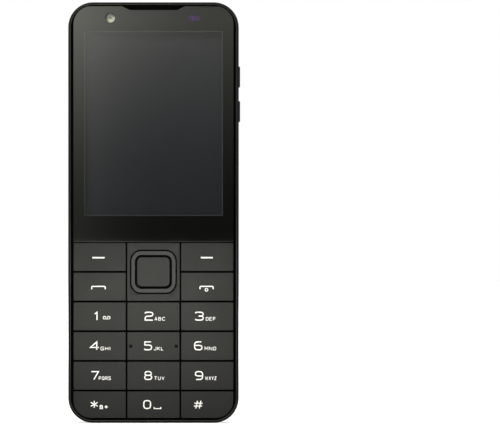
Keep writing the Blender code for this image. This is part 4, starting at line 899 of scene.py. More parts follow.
def deck_holes():
    """The holes in the deck: display, navigation carrier, key posts, earpiece, lamp and camera."""
    low, high = DISPLAY_BOTTOM - DISPLAY_HOLE_MARGIN, DISPLAY_TOP + DISPLAY_HOLE_MARGIN
    width = 2 * (DISPLAY_HALF_WIDTH + DISPLAY_HOLE_MARGIN)
    holes = [rounded(width, high - low, POST_CORNER, (0, (low + high) / 2), 3)]
    holes.append(grown("nav_ring_carrier", SIDE_CLEARANCE))
    size = [side + 2 * SIDE_CLEARANCE for side in POST_SIZE]
    holes += [box_outline(*size, Box(name).flat) for name in PLAIN_KEYS]
    holes.append(box_outline(*EARPIECE_SLOT, (0, FACE_TOP - NOTCH_DEPTH / 2)))
    for name in ("front_flash_lens", "front_camera"):
        holes.append(circle(LAMP_WINDOW_RADIUS + SIDE_CLEARANCE, Box(name).flat))
    return holes


def usb_outline(outset):
    box = Box("usb_socket")
    width, depth = box.width + 2 * outset, box.depth + 2 * outset
    corner = depth / 2 * PILL_ROUND_SHARE
    return rounded(width, depth, corner, (box.middle.x, box.middle.y), SMALL_STEPS)


def edge_holes(name):
    """A cutter for the holes in the bottom edge: socket, loudspeaker and microphone."""
    steps = ROUND_STEPS // 2
    middle = (Box("loudspeaker").middle.x, SOUND_HOLE_Y)
    places = grid(SOUND_HOLES, 1, SOUND_HOLE_PITCH, 0, middle)
    holes = [usb_outline(USB_HOLE_GAP)]
    holes += [circle(SOUND_HOLE_RADIUS, place, steps) for place in places]
    middle = (Box("microphone").middle.x, SOUND_HOLE_Y)
    holes.append(circle(MICROPHONE_HOLE_RADIUS, middle, steps))
    return extruded(name, holes, -CUT_OVERRUN, EDGE_HOLE_DEPTH, "Z")


def front_housing(sizes):
    sections = [at_depth(body_outline(inset), y) for inset, y in rim_profile(sizes)]
    housing = loft("housing_shell", sections, hollow=True)
    ends = (SIDE_X - SIDE_WALL - CUT_OVERRUN, SIDE_X + CUT_OVERRUN)
    size = [side + 2 * VOLUME_HOLE_GAP for side in (VOLUME_WIDTH, VOLUME_HEIGHT)]
    for name, z in VOLUME_Z.items():
        hole = rounded(*size, VOLUME_CORNER + VOLUME_HOLE_GAP, (VOLUME_Y, z))
        carved(housing, extruded(name + "_hole", [hole], *ends, "X"), solver="MANIFOLD")
    carved(housing, edge_holes("housing_edge_holes"), solver="MANIFOLD")
    deck = [body_outline(SIDE_WALL / 2), *deck_holes()]
    deck = extruded("deck", deck, DECK_FRONT_Y, DECK_BACK_Y)
    radii = (BOSS_RADIUS, BOSS_BORE_RADIUS)
    rings = [circle(radius, place) for place in SCREW_PLACES for radius in radii]
    boss_back = Box("rear_frame").front - SEAT_GAP
    gathered(housing, extruded("screw_bosses", rings, DECK_MIDDLE_Y, boss_back))
    # The deck's darker colour is painted shade, seen in the gaps between the keys and round the
    # window
    dressed(deck, plastic(sizes, "deck"), "housing_black")
    dressed(housing, plastic(sizes, "housing"), "housing_black", "front_housing")


def display_window(sizes):
    radii = (WINDOW_LOWER_CORNER, WINDOW_CORNER, WINDOW_CORNER, WINDOW_LOWER_CORNER)
    outline = rounded(WINDOW.width, WINDOW.height, radii, WINDOW.flat)
    top, bottom, low = NOTCH_TOP_WIDTH / 2, NOTCH_BOTTOM_WIDTH / 2, FACE_TOP - NOTCH_DEPTH
    notch = [(top, FACE_TOP), (bottom, low), (-bottom, low), (-top, FACE_TOP)]
    after_right_corner = 2 * (CORNER_STEPS + 1)
    outline[after_right_corner:after_right_corner] = notch
    window = extruded("window_glass", [outline], WINDOW.front, WINDOW.back)
    softened(window, sizes.glass_edge, 3)
    dressed(window, window_finish(sizes), "window_glass", "display_window")


def display_panel(sizes):
    panel = slab("display_panel", "lcd_panel", 0.3 * MM, 0.08 * MM)
    dressed(panel, panel_finish(sizes), "display_black", "lcd_panel")


def earpiece(sizes):
    """A woven wire mesh in the notch above the display, in a thin frame."""
    box = Box("earpiece_mesh")
    low, high, wire, pitch = box.low, box.high, MESH_WIRE, sizes.mesh_pitch
    slope = (NOTCH_TOP_WIDTH - NOTCH_BOTTOM_WIDTH) / 2 / box.height
    foot = high.x - slope * box.height

    def half_at(z):
        return foot + (z - low.z) * slope

    def trapezoid(inset):
        bottom, top = low.z + inset, high.z - inset
        wide, narrow = half_at(top) - inset, half_at(bottom) - inset
        return [(narrow, bottom), (wide, top), (-wide, top), (-narrow, bottom)]

    rim = extruded("earpiece_grille", [trapezoid(0), trapezoid(MESH_FRAME)], low.y, high.y)
    softened(rim, 0.04 * MM)
    wires = []
    y = low.y + 0.2 * MM
    count = int(2 * high.x / pitch)
    for x, _ in grid(count + 1, 1, pitch, 0):
        bottom = low.z + max(0, abs(x) - foot) / slope
        if bottom < high.z - MESH_FRAME:
            outline = box_outline(wire, high.z - bottom, (x, (bottom + high.z) / 2))
            wires.append(extruded("wire", [outline], y, y + wire))
    for number in range(1, int(box.height / pitch)):
        z = low.z + number * pitch
        outline = box_outline(2 * half_at(z) - MESH_FRAME, wire, (0, z))
        wires.append(extruded("wire", [outline], y + wire / 2, y + wire * 1.5))
    back = [trapezoid(MESH_FRAME / 2)]
    back = extruded("backing", back, high.y - 0.2 * MM, high.y - 0.05 * MM)
    dressed(gathered(rim, *wires, back), metal(sizes, "mesh"), "steel", "earpiece_mesh")


def front_lamp(sizes):
    """The lens of the front flash lamp, with rings moulded into its back, and its chip."""
    box = Box("front_flash_lens")
    radius, front, back = box.radius, box.front, box.back
    profile = [(0, back)]
    for share in (0.3, 0.45, 0.6, 0.75):
        outer = radius * (share + 0.15) - 0.03 * MM
        profile += [(radius * share, back), (outer, back - 0.09 * MM)]
    profile += [(radius, back), (radius, front + 0.08 * MM), (radius - 0.08 * MM, front)]
    floor = front + 0.05 * MM
    profile += [(radius * 0.75, front), (radius * 0.7, floor), (0, floor)]
    lens = turned("front_lamp_lens", profile, box.axis)
    finish = lamp_finish("front_lamp_finish", sizes.front_lamp_colour)
    dressed(lens, finish, "lamp_clear", "front_flash_lens")
    chip = [box_outline(*LAMP_CHIP_SIZE, box.flat)]
    chip = extruded("front_lamp_chip", chip, front + 0.01 * MM, front + 0.2 * MM)
    dressed(softened(chip, 0.05 * MM), plastic(sizes, "lamp_chip"), "lamp_clear")


def front_camera(sizes):
    box = Box("front_camera")
    front, base_front = box.front, Box("lcd_panel").front
    base = slab("front_camera_base", "front_camera", 0.3 * MM, 0.1 * MM, front=base_front)
    radius, foot = LAMP_WINDOW_RADIUS + 0.15 * MM, base_front + 0.2 * MM
    profile = [(radius, foot), (radius, front + 0.1 * MM), (radius - 0.1 * MM, front)]
    profile += [(radius * 0.72, front), (radius * 0.66, front + 0.12 * MM)]
    profile += [(radius * 0.5, front + 0.14 * MM), (radius * 0.46, front + 0.3 * MM)]
    profile += [(0.05 * MM, front + 0.3 * MM), (0.05 * MM, foot)]
    barrel = turned("front_camera_barrel", profile, box.axis)
    dressed(gathered(base, barrel), plastic(sizes, "module"), "module_black", "front_camera")
    lens_radius, top = radius * 0.64, front + 0.1 * MM
    profile = [(lens_radius * step / 6, top + 0.1 * MM * (step / 6) ** 2) for step in range(7)]
    profile += [(lens_radius, front + 0.28 * MM), (0, front + 0.28 * MM)]
    lens = turned("front_camera_lens", profile, box.axis)
    glass = lens_finish("front_camera_glass", sizes.camera_glass_colour, 0.2)
    dressed(lens, glass, "module_black")


# Keys


def key_cap(name, node, radii, thickness, edge, post_size, steps):
    """A key cap with a rounded edge, a groove under its skirt and its post, as one solid."""
    box = Box(node)
    cap = rounded_at(box.width, box.height, radii, box.flat, steps)
    post = rounded_at(*post_size, POST_CORNER, box.flat, steps)
    back = box.front + thickness
    ends = [(cap(0), back - edge / 2), (cap(edge / 2), back), (post(0), back)]
    ends += [(post(0), box.back - edge), (post(edge), box.back)]
    sections = edge_sections(cap, box.front, edge)
    return loft(name, sections + [at_depth(*end) for end in ends])


def plain_keys(sizes):
    finish = plastic(sizes, "key")
    for name in PLAIN_KEYS:
        radii = [KEY_CORNER] * 4
        if name in OUTER_CORNERS:
            radii[OUTER_CORNERS[name]] = KEY_OUTER_CORNER
        size = (KEY_THICKNESS, sizes.key_edge, POST_SIZE)
        cap = key_cap(name + "_cap", name, radii, *size, CORNER_STEPS // 2)
        dressed(cap, finish, "key_grey", name, body=name)
    key = Box("key_5")
    reach, rise, front, root = PIP_RADIUS, PIP_RISE, key.front, key.front + 0.2 * MM
    profile = [(0, front - rise), (reach * 0.5, front - rise * 0.86)]
    profile += [(reach * 0.85, front - rise * 0.45), (reach, front + 0.02 * MM)]
    profile += [(reach, root), (0, root)]
    places = grid(2, 1, PIP_SPACING, 0, key.flat)
    pips = [turned("key_5_pips", profile, (x, 0, z), steps=24) for x, z in places]
    grain = (0.14 * MM, sizes.grain_depth)
    finish = moulded("pip_finish", toned(sizes.key_colour, 0.2), 0.25, *grain)
    finish.constant("Specular IOR Level", 0.15)
    dressed(gathered(*pips), finish, "key_grey", body="key_5")


def navigation_keys(sizes):
    plate, band, key = Box("nav_surround"), Box("nav_ring"), Box("nav_key")

    def round_ring(side, end, corner):
        return rounded(band.width + 2 * side, band.height + 2 * end, corner, band.flat)

    opening = round_ring(NAV_GROOVE, NAV_GROOVE, NAV_OPENING_CORNER)
    outlines = [grown("nav_surround", 0, KEY_CORNER), opening]
    surround = softened(extruded("nav_plate", outlines, plate.front, plate.back), sizes.key_edge, 3)
    dressed(surround, plastic(sizes, "surround"), "key_grey", "nav_surround")

    corner = NAV_OPENING_CORNER - NAV_GROOVE - NAV_RING_INSET
    outlines = [round_ring(-NAV_RING_INSET, -NAV_RING_INSET, corner)]
    outlines.append(round_ring(-NAV_SIDE_BAND, -NAV_END_BAND, NAV_HOLE_CORNER))
    ring = extruded("navigation_ring", outlines, band.front, band.back)
    softened(ring, sizes.nav_edge, 4)
    dressed(ring, plastic(sizes, "nav_ring"), "key_grey", "nav_ring", body="nav_ring")

    post = [side * share for side, share in zip((key.width, key.height), NAV_POST_SHARES)]
    size = (NAV_KEY_THICKNESS, sizes.nav_edge, post)
    cap = key_cap("navigation_key", "nav_key", NAV_KEY_CORNER, *size, CORNER_STEPS // 2)
    dressed(cap, plastic(sizes, "nav"), "key_grey", "nav_key", body="nav_key")


def volume_keys(sizes):
    finish = plastic(sizes, "side_key")
    flange_out = SIDE_X - SIDE_WALL - SEAT_GAP
    edge = quarter_round(sizes.side_key_edge, 5)[::-1]
    for name, height in VOLUME_Z.items():
        box = Box(name)
        cap, flange = [
            rounded_at(VOLUME_WIDTH, reach, VOLUME_CORNER, (VOLUME_Y, height), 8)
            for reach in (VOLUME_HEIGHT, box.height)
        ]
        sections = [(flange(0), box.low.x), (flange(0), flange_out), (cap(0), flange_out)]
        sections += [(cap(inset), box.high.x - drop) for inset, drop in edge]
        shape = [[(x, y, z) for y, z in outline] for outline, x in sections]
        dressed(loft(name + "_cap", shape), finish, "housing_black", name, body=name)


# Legends


def bent(points, reach, closed, steps=4):
    """A path with its corners rounded off, starting this far from each corner."""
    count = len(points)
    path = []
    for place, corner in enumerate(points):
        if not closed and place in (0, count - 1):
            path.append(corner)
            continue
        here = Vector(corner)
        near, far = Vector(points[place - 1]) - here, Vector(points[(place + 1) % count]) - here
        start = here + near.normalized() * min(reach, near.length / 2)
        end = here + far.normalized() * min(reach, far.length / 2)
        for step in range(steps + 1):
            share = step / steps
            path.append(tuple(start.lerp(here, share).lerp(here.lerp(end, share), share)))
    return path


def band_sections(path, width, front, back, closed):
    """Cross-sections of a flat band laid along a path."""
    count = len(path)
    sections = []
    for place in range(count):
        here = Vector(path[place])
        before = Vector(path[place - 1]) if closed or place else here
        after = Vector(path[(place + 1) % count]) if closed or place < count - 1 else here
        into, out = (here - before), (after - here)
        into = into.normalized() if into.length > MM / 1e5 else out.normalized()
        out = out.normalized() if out.length > MM / 1e5 else into
        along = (into + out).normalized() if (into + out).length > MM else into
        stretch = 1 / max(abs(along.dot(into)), 0.4)
        across = Vector((-along.y, along.x)) * (width / 2 * stretch)
        left, right = here + across, here - across
        corners = ((left, front), (right, front), (right, back), (left, back))
        sections.append([(point.x, y, point.y) for point, y in corners])
    return sections


def strokes(signs, wanted):
    """Yields a sign's paths from a table of signs."""
    for names, rows in signs.items():
        if wanted in names.split():
            for row in rows.split("/"):
                numbers = [float(part) for part in row.split()]
                yield list(zip(numbers[::2], numbers[1::2]))


def stroke_paths(sign, left, right, bottom, top, stroke):
    """Yields a sign's paths, scaled into a box that its strokes just touch."""
    width, height = right - left - stroke, top - bottom - stroke
    x, z = left + stroke / 2, bottom + stroke / 2
    round_share = 0.5 if sign == "ring" else 0.42
    for signs, reach in ((SOFT_SIGNS, min(width, height) * round_share), (SHARP_SIGNS, 0)):
        for points in strokes(signs, sign):
            closed = points[0] == points[-1]
            points = points[:-1] if closed else points
            placed = [(x + across * width, z + along * height) for across, along in points]
            yield (bent(placed, reach, closed) if reach else placed), closed


def word_spans(word, left, right):
    """Left and right of each letter of a word that fills a span."""
    widths = [LETTER_WIDTHS.get(letter, 1) for letter in word]
    unit = (right - left) / (sum(widths) + LETTER_GAP_SHARE * (len(word) - 1))
    for width in widths:
        yield left, left + width * unit
        left += (width + LETTER_GAP_SHARE) * unit


def legends(sizes):
    """The signs printed on the keys, as flat bands just proud of their faces."""
    finish = print_finish(sizes)
    for key, rows in KEY_LEGENDS.items():
        box = Box(key)
        shape = bmesh.new()
        back = box.front + PRINT_ROOT
        for sign, *row in rows:
            left, right, rise, height, line = mm(*row)
            left, right, bottom = box.middle.x + left, box.middle.x + right, box.middle.z + rise
            letters = list(sign) if sign.isupper() else [sign]
            for letter, (start, end) in zip(letters, word_spans(letters, left, right)):
                paths = stroke_paths(letter, start, end, bottom, bottom + height, line)
                for number, (path, closed) in enumerate(paths):
                    front = box.front - sizes.print_height - number * PRINT_STEP
                    add_loft(shape, band_sections(path, line, front, back, closed), closed)
        dressed(mesh_piece(key + "_legend", shape), finish, "film_white", body=key)


# Rear cover and its door


def roll_outline(angle, wall):
    """The cover's outline where its skin has turned this far from the side to the back."""
    share = 1 - math.cos(angle)
    side, top, bottom = [wall + roll * share for roll in ROLL_SIDE_TOP_BOTTOM]
    radius = BODY_CORNER + (FLAT_CORNER - BODY_CORNER) * share - wall
    height = LENGTH - top - bottom
    return rounded(2 * (SIDE_X - side), height, radius, (0, bottom + height / 2))


def skin(wall, count):
    """Sections of the cover's outer or inner skin, from the flat back to the seam."""
    sections = []
    for angle in turns(count, 0.25)[::-1]:
        y = ROLL_START_Y + (ROLL_DEPTH - wall) * math.sin(angle)
        sections.append(at_depth(roll_outline(angle, wall), y))
    return [*sections, at_depth(roll_outline(0, wall), COVER_FRONT_Y)]


def cover_shell(name):
    return loft(name, skin(0, ROLL_TURNS) + skin(COVER_WALL, ROLL_TURNS // 2)[::-1])


def door_face(gap):
    """The door's opening in the side, seen along X, or the door itself with a gap round it."""
    front, back = DOOR_FRONT_Y + gap, DOOR_BACK_Y - gap
    radii = (DOOR_CORNER, DOOR_CORNER, WINDOW_LOWER_CORNER, WINDOW_LOWER_CORNER)
    middle = ((front + back) / 2, DOOR_Z)
    return [rounded(back - front, DOOR_LENGTH - 2 * gap, radii, middle, SMALL_STEPS)]


def door_circle(radius):
    return [circle(radius, DOOR_AXIS, ROUND_STEPS // 2)]


def pin_bore(name):
    half = DOOR_LENGTH / 2 + DOOR_PIN_OVERLAP
    return extruded(name, door_circle(DOOR_BORE_RADIUS), DOOR_Z - half, DOOR_Z + half, "Z")


def back_cover(sizes):
    cover = cover_shell("cover_shell")
    reach = DOOR_REACH + DOOR_GAP - SIDE_X
    opening = extruded("door_opening", door_face(0), -SIDE_X - CUT_OVERRUN, reach, "X")
    pill = extruded("pill_hole", [pill_outline(0)], ROLL_START_Y, BACK_Y + CUT_OVERRUN)
    carved(cover, opening, pill, edge_holes("cover_edge_holes"), pin_bore("pin_bore"))
    relief = (0.45 * MM, sizes.grain_depth * 3, 0.06)
    finish = moulded("cover_finish", sizes.cover_colour, 0.28, *relief)
    dressed(cover, finish, "cover_black", "back_cover", body="back_cover")


def card_door(sizes):
    door = cover_shell("door_skin")
    low, high = DOOR_Z - DOOR_LENGTH / 2 + DOOR_GAP, DOOR_Z + DOOR_LENGTH / 2 - DOOR_GAP
    x, y = DOOR_AXIS
    reach = DOOR_BACK_Y - DOOR_SWING_GAP - y
    half_turn = turns(ROUND_STEPS, 0.5)
    swing = [[(x + reach * math.cos(a), y + reach * math.sin(a)) for a in half_turn]]
    swing = extruded("door_swing", swing, low, high, "Z")
    outside = -SIDE_X - CUT_OVERRUN
    face = extruded("door_face", door_face(DOOR_GAP), outside, DOOR_REACH - SIDE_X, "X")
    combine(door, [swing, face], "INTERSECT")
    barrel = extruded("door_barrel", door_circle(DOOR_BARREL_RADIUS), low, high, "Z")
    combine(door, [barrel], "UNION")
    slot = [rounded(*PRY_SLOT, PRY_SLOT_CORNER, ((DOOR_BACK_Y + y) / 2, low + PRY_SLOT_RISE), 3)]
    slot = extruded("pry_slot", slot, outside, PRY_SLOT_DEPTH - SIDE_X, "X")
    carved(door, slot, pin_bore("door_bore"))
    dressed(door, plastic(sizes, "door"), "cover_black", "card_door", body="card_door")


# Rear camera and flash lamp


def camera_island(sizes):
    box, ring = Box("camera_plate"), Box("camera_ring")

    def plate_outline(inset):
        return pill_outline(PILL_GROOVE + inset)

    sections = [at_depth(plate_outline(0), box.front)]
    plate = edge_sections(plate_outline, box.back, sizes.island_edge, 6, -1)
    plate = loft("island_plate", sections + plate)
    holes = [circle(RING_RADIUS + RING_FIT, ring.flat)]
    holes.append(circle(LAMP_HOLE_RADIUS, Box("rear_flash_lens").flat))
    carved(plate, extruded("island_holes", holes, box.front - CUT_OVERRUN, box.back + CUT_OVERRUN))
    softened(plate, 0.06 * MM, 2, 50)
    dressed(plate, plastic(sizes, "island"), "module_black", "camera_plate")
    bead = [plate_outline(inset) for inset in ISLAND_BEAD]
    bead = extruded("island_bead", bead, box.back - 0.1 * MM, box.back)
    dressed(bead, plastic(sizes, "bead"), "module_black")

    top, bevel = ring.back, quarter_round(RING_BEVEL, 5)
    profile = [(RING_INNER, box.front), (RING_INNER, top - 2 * RING_BEVEL)]
    profile += [(RING_INNER + inset, top - drop) for inset, drop in bevel[::-1]]
    profile += [(RING_RADIUS - inset, top - drop) for inset, drop in bevel]
    ring = turned("ring_metal", [*profile, (RING_RADIUS, box.front)], ring.axis, steps=96)
    dressed(ring, ring_finish(sizes), "film_white", "camera_ring")


def camera_lens(sizes):
    """The cover glass, the lens cone beneath it and the module it belongs to."""
    box, module = Box("camera_lens"), Box("rear_camera_module")
    edge = quarter_round(0.08 * MM, 3)[::-1]
    profile = [(0, box.front), (box.radius, box.front)]
    profile += [(box.radius - inset, box.back - drop) for inset, drop in edge]
    glass = turned("lens_glass", [*profile, (0, box.back)], box.axis, steps=96)
    finish = lens_finish("lens_finish", sizes.camera_glass_colour, 0.85)
    finish.constant("Specular IOR Level", 0.15)
    dressed(glass, finish, "window_glass", "camera_lens")

    base_back, back = module.front + MODULE_BASE_DEPTH, module.back
    edges = (0.5 * MM, 0.1 * MM, 0.15 * MM)
    base = slab("module_base", "rear_camera_module", *edges, back=base_back)
    foot, edge = base_back - 0.1 * MM, 0.1 * MM
    profile = [(0, foot), (MODULE_RADIUS, foot), (MODULE_RADIUS, back - edge)]
    profile += [(MODULE_RADIUS - edge, back), (2.3 * MM, back), (2.2 * MM, back - 0.12 * MM)]
    profile += [(2.04 * MM, back - 0.16 * MM), (2.0 * MM, back - 0.3 * MM), (0, back - 0.3 * MM)]
    barrel = turned("module_barrel", profile, box.axis)
    finish = plastic(sizes, "camera_module")
    dressed(gathered(base, barrel), finish, "module_black", "rear_camera_module")

    profile = [(0, back - 0.35 * MM), (MODULE_LENS_RADIUS, back - 0.35 * MM)]
    for step in range(9):
        reach = 1 - step / 8
        height = back - 0.28 * MM + 0.2 * MM * (1 - reach * reach)
        profile.append((MODULE_LENS_RADIUS * reach, height))
    lens = turned("module_lens", profile, box.axis)
    dressed(lens, pupil_finish(sizes, *box.flat), "module_black")


def rear_lamp(sizes):
    """The rear flash lens, with rings moulded into its face, and the lamp behind it."""
    box, led = Box("rear_flash_lens"), Box("rear_flash_led")
    radius, back, face = box.radius, box.back, box.back - 0.01 * MM
    profile = [(0, box.front), (radius, box.front)]
    profile += [(radius, back - 0.06 * MM), (radius - 0.06 * MM, back)]
    for ring in range(5):
        outer = radius * (0.9 - 0.16 * ring)
        profile += [(outer, face), (outer - 0.04 * MM, back - 0.07 * MM)]
    lens = turned("rear_lamp_lens", [*profile, (radius * 0.12, face), (0, face)], box.axis)
    finish = lamp_finish("rear_lamp_finish", sizes.rear_lamp_colour)
    dressed(lens, finish, "lamp_clear", "rear_flash_lens")
    block = slab("rear_lamp_block", "rear_flash_led", 0.3 * MM, 0.08 * MM, 0.12 * MM)
    chip = box_outline(1.4 * MM, 1.4 * MM, box.flat)
    recessed(block, "chip_recess", chip, led.back - 0.12 * MM, led.back)
    dressed(block, plastic(sizes, "lamp_block"), "film_white", "rear_flash_led")


# Pieces inside, seen when the cover is off


def small_blocks(name, size, places, start, end, edge, axis="Y"):
    """Equal blocks such as contacts, as one piece. They have rounded edges if an edge is given."""
    outlines = [box_outline(*size, place) for place in places]
    blocks = [extruded(name, [outline], start, end, axis) for outline in outlines]
    return gathered(*[softened(block, edge) if edge else block for block in blocks])


def usb_socket(sizes):
    """The socket's drawn shell with its tongue and the two rows of contacts on it."""
    box = Box("usb_socket")
    centre, top, mouth = (box.middle.x, box.middle.y), box.high.z, box.low.z + TONGUE_SETBACK
    outlines = [usb_outline(0), usb_outline(-USB_SHELL)]
    shell = softened(extruded("socket_shell", outlines, box.low.z, top, "Z"), 0.06 * MM)
    back = [usb_outline(-USB_SHELL / 2)]
    back = extruded("socket_back", back, top - 1.0 * MM, top - 0.2 * MM, "Z")
    dressed(gathered(shell, back), metal(sizes, "shell"), "steel", "usb_socket")
    tongue = [box_outline(TONGUE_WIDTH, TONGUE_THICKNESS, centre)]
    tongue = softened(extruded("socket_tongue", tongue, mouth, top - 0.6 * MM, "Z"), 0.08 * MM)
    dressed(tongue, plastic(sizes, "tongue"), "module_black")
    places = grid(CONTACTS, 2, CONTACT_PITCH, TONGUE_THICKNESS, centre)
    ends = (mouth + 0.5 * MM, mouth + 3.2 * MM)
    contacts = small_blocks("socket_contacts", CONTACT_SIZE, places, *ends, 0, "Z")
    dressed(contacts, metal(sizes, "contact"), "film_amber")


def rear_frame(sizes):
    """The plate behind the board, with its battery bay, camera bay and stiffening ribs."""
    box, socket, cell = Box("rear_frame"), Box("usb_socket"), Box("battery")
    front, plate_back = box.front, box.front + FRAME_THICKNESS
    middle, half = (front + plate_back) / 2, box.radius
    corner = BODY_CORNER - SIDE_WALL - SIDE_CLEARANCE
    outlines = [rounded(box.width, box.height, corner, (0, MIDDLE_Z))]
    outlines.append(grown("shield_can", SIDE_CLEARANCE, 0.9 * MM))
    outlines += [circle(SCREW_HOLE_RADIUS, place, ROUND_STEPS // 2) for place in SCREW_PLACES]
    plate = extruded("frame_plate", outlines, front, plate_back)
    top = socket.high.z + SIDE_CLEARANCE
    span = (socket.width + 2 * SIDE_CLEARANCE, top + CUT_OVERRUN)
    gap = box_outline(*span, (0, (top - CUT_OVERRUN) / 2))
    recessed(plate, "socket_gap", gap, front - CUT_OVERRUN, plate_back)
    softened(plate, 0.06 * MM)
    gaps = (BAY_GAP + BAY_WALL, BAY_GAP)
    walls = [grown("battery", gap, BATTERY_CORNER + gap) for gap in gaps]
    bay = extruded("battery_bay", walls, middle, box.back)
    opening = grown("battery_connector", SIDE_CLEARANCE)
    recessed(bay, "contact_gap", opening, plate_back, box.back)
    softened(bay, 0.12 * MM)
    ring = [pill_outline(PILL_GROOVE), pill_outline(PILL_GROOVE + BAY_WALL)]
    ring = extruded("camera_bay", ring, middle, Box("camera_plate").front - SEAT_GAP)
    top = cell.high.z + BAY_GAP + BAY_WALL + RIB_LENGTH / 2 - RIB_WIDTH
    ribs = []
    rows = ((half * RIB_SHARE, RIB_LENGTH, top), (half - RIB_EDGE, cell.height, cell.middle.z))
    for x, reach, z in rows:
        ends = (middle, plate_back + RIB_HEIGHT)
        ribs.append(small_blocks("rib", (RIB_WIDTH, reach), ((-x, z), (x, z)), *ends, 0.1 * MM))
    piece = gathered(plate, bay, softened(ring, 0.1 * MM), *ribs)
    dressed(piece, plastic(sizes, "frame"), "frame_black", "rear_frame")


def frame_screws(sizes):
    """Four screws with domed heads and cross recesses."""
    finish = metal(sizes, "screw")
    for name in SCREWS:
        box = Box(name)
        head, front, top = box.radius, box.front, box.back
        seat, shank = top - SCREW_HEAD_DEPTH, head * 0.42
        profile = [(0, front), (shank * 0.6, front), (shank, front + 0.3 * MM)]
        profile += [(shank, seat), (head, seat)]
        dome = quarter_round(0.2 * MM, 5)[::-1]
        profile += [(head - inset, top - drop) for inset, drop in dome]
        screw = turned(name + "_piece", [*profile, (0, top)], box.axis, steps=48)
        for size in ((head * 1.1, head * 0.26), (head * 0.26, head * 1.1)):
            recessed(screw, "cross", box_outline(*size, box.flat), top - 0.3 * MM, top)
        dressed(screw, finish, "steel", name)


def battery(sizes):
    pack = slab("battery_pack", "battery", BATTERY_CORNER, 0.35 * MM, steps=10)
    dressed(pack, label_finish(), "battery_grey", "battery")
    box = Box("battery_connector")
    block = slab("contact_block", "battery_connector", 0.2 * MM, 0.12 * MM)
    dressed(block, plastic(sizes, "contact_block"), "module_black", "battery_connector")
    places = grid(BATTERY_CONTACTS, 1, BATTERY_CONTACT_PITCH, 0, (0, box.middle.z))
    ends = (box.back - 0.3 * MM, box.back - 0.02 * MM)
    springs = small_blocks("battery_contacts", mm(0.9, 1.5), places, *ends, 0.08 * MM)
    dressed(springs, metal(sizes, "spring"), "film_amber")


def loudspeaker(sizes):
    """The loudspeaker with its pressed grille."""
    box = Box("loudspeaker")
    (x, z), back = box.flat, box.back
    case = slab("speaker_box", "loudspeaker", 0.8 * MM, 0.2 * MM)
    width, height = box.width - 2.4 * MM, box.height - 2.4 * MM
    recess = rounded(width, height, 1.0 * MM, box.flat)
    recessed(case, "speaker_recess", recess, back - 0.25 * MM, back)
    dressed(case, plastic(sizes, "speaker"), "module_black", "loudspeaker")
    outlines = [rounded(width - 0.1 * MM, height - 0.1 * MM, 0.95 * MM, box.flat)]
    reach_x, reach_z = width / 2 - 0.6 * MM, height / 2 - 0.6 * MM
    for across, along in grid(9, 9, 0.75 * MM, 0.75 * MM):
        if abs(across) < reach_x and abs(along) < reach_z:
            outlines.append(circle(0.2 * MM, (x + across, z + along), 12))
    grille = extruded("speaker_grille", outlines, back - 0.2 * MM, back - 0.08 * MM)
    dressed(grille, metal(sizes, "grille"), "steel")


def motor_and_microphone(sizes):
    """The microphone can, and the vibration motor with its half-round weight."""
    can = slab("microphone_can", "microphone", 0.3 * MM, 0.12 * MM)
    dressed(can, metal(sizes, "can"), "steel", "microphone")

    box = Box("vibration_motor")
    y, z, radius = box.middle.y, box.middle.z, box.depth / 2
    start, end, chamfer = box.low.x, box.high.x, 0.15 * MM
    weight = end - MOTOR_WEIGHT
    profile = [(0, start), (radius - chamfer, start), (radius, start + chamfer)]
    profile += [(radius, weight - 0.5 * MM), (radius - 0.2 * MM, weight - 0.3 * MM)]
    profile += [(0.4 * MM, weight - 0.3 * MM), (0.4 * MM, end), (0, end)]
    motor = turned("motor_case", profile, (0, y, z), "X", 48)
    reach = radius - 0.1 * MM
    half = [(y + reach * math.cos(a), z + reach * math.sin(a)) for a in turns(24, 0.5)]
    half = softened(extruded("motor_weight", [half], weight, end - 0.1 * MM, "X"), 0.08 * MM)
    dressed(gathered(motor, half), metal(sizes, "motor"), "steel", "vibration_motor")


def holders(sizes):
    """SIM holder, card reader and shield can, pressed from sheet steel."""
    steel = metal(sizes, "sheet")
    box = Box("sim_holder")
    (x, z), width, height, back = box.flat, box.width, box.height, box.back
    window_middle = (x, z - height * 0.08)
    sim = slab("sim_frame", "sim_holder", 0.4 * MM, 0.1 * MM)
    window = rounded(width * 0.62, height * 0.5, 0.6 * MM, window_middle)
    recessed(sim, "sim_window", window, back - 0.7 * MM, back)
    notch = rounded(width * 0.4, 2.4 * MM, 0.9 * MM, (x, box.high.z))
    recessed(sim, "sim_notch", notch, back - 0.5 * MM, back)
    dressed(sim, steel, "steel", "sim_holder")
    places = grid(2, 3, 3.0 * MM, 1.8 * MM, window_middle)
    ends = (back - 0.72 * MM, back - 0.45 * MM)
    pads = small_blocks("sim_contacts", mm(1.3, 1.0), places, *ends, 0.06 * MM)
    dressed(pads, metal(sizes, "sim_contact"), "film_amber")

    box = Box("card_reader")
    back = box.back
    reader = slab("reader_shell", "card_reader", 0.3 * MM, 0.1 * MM)
    slot_middle = (back - READER_LID - READER_SLOT / 2, box.middle.z)
    slot = [box_outline(READER_SLOT, box.height - 2 * READER_WALL, slot_middle)]
    ends = (box.low.x - CUT_OVERRUN, box.high.x - READER_WALL)
    carved(reader, extruded("reader_slot", slot, *ends, "X"))
    stamp = rounded(box.width * 0.55, box.height * 0.6, 0.6 * MM, box.flat)
    recessed(reader, "reader_stamp", stamp, back - 0.15 * MM, back)
    dressed(softened(reader, 0.03 * MM, 1), steel, "steel", "card_reader")

    box = Box("shield_can")
    back = box.back
    can = slab("shield_box", "shield_can", 0.6 * MM, 0.05 * MM, 0.25 * MM)
    places = grid(5, 5, 1.9 * MM, 1.9 * MM, box.flat)
    vents = [circle(0.28 * MM, place, 16) for place in places]
    carved(can, extruded("vents", vents, back - 0.12 * MM, back + CUT_OVERRUN))
    dressed(can, steel, "steel", "shield_can")


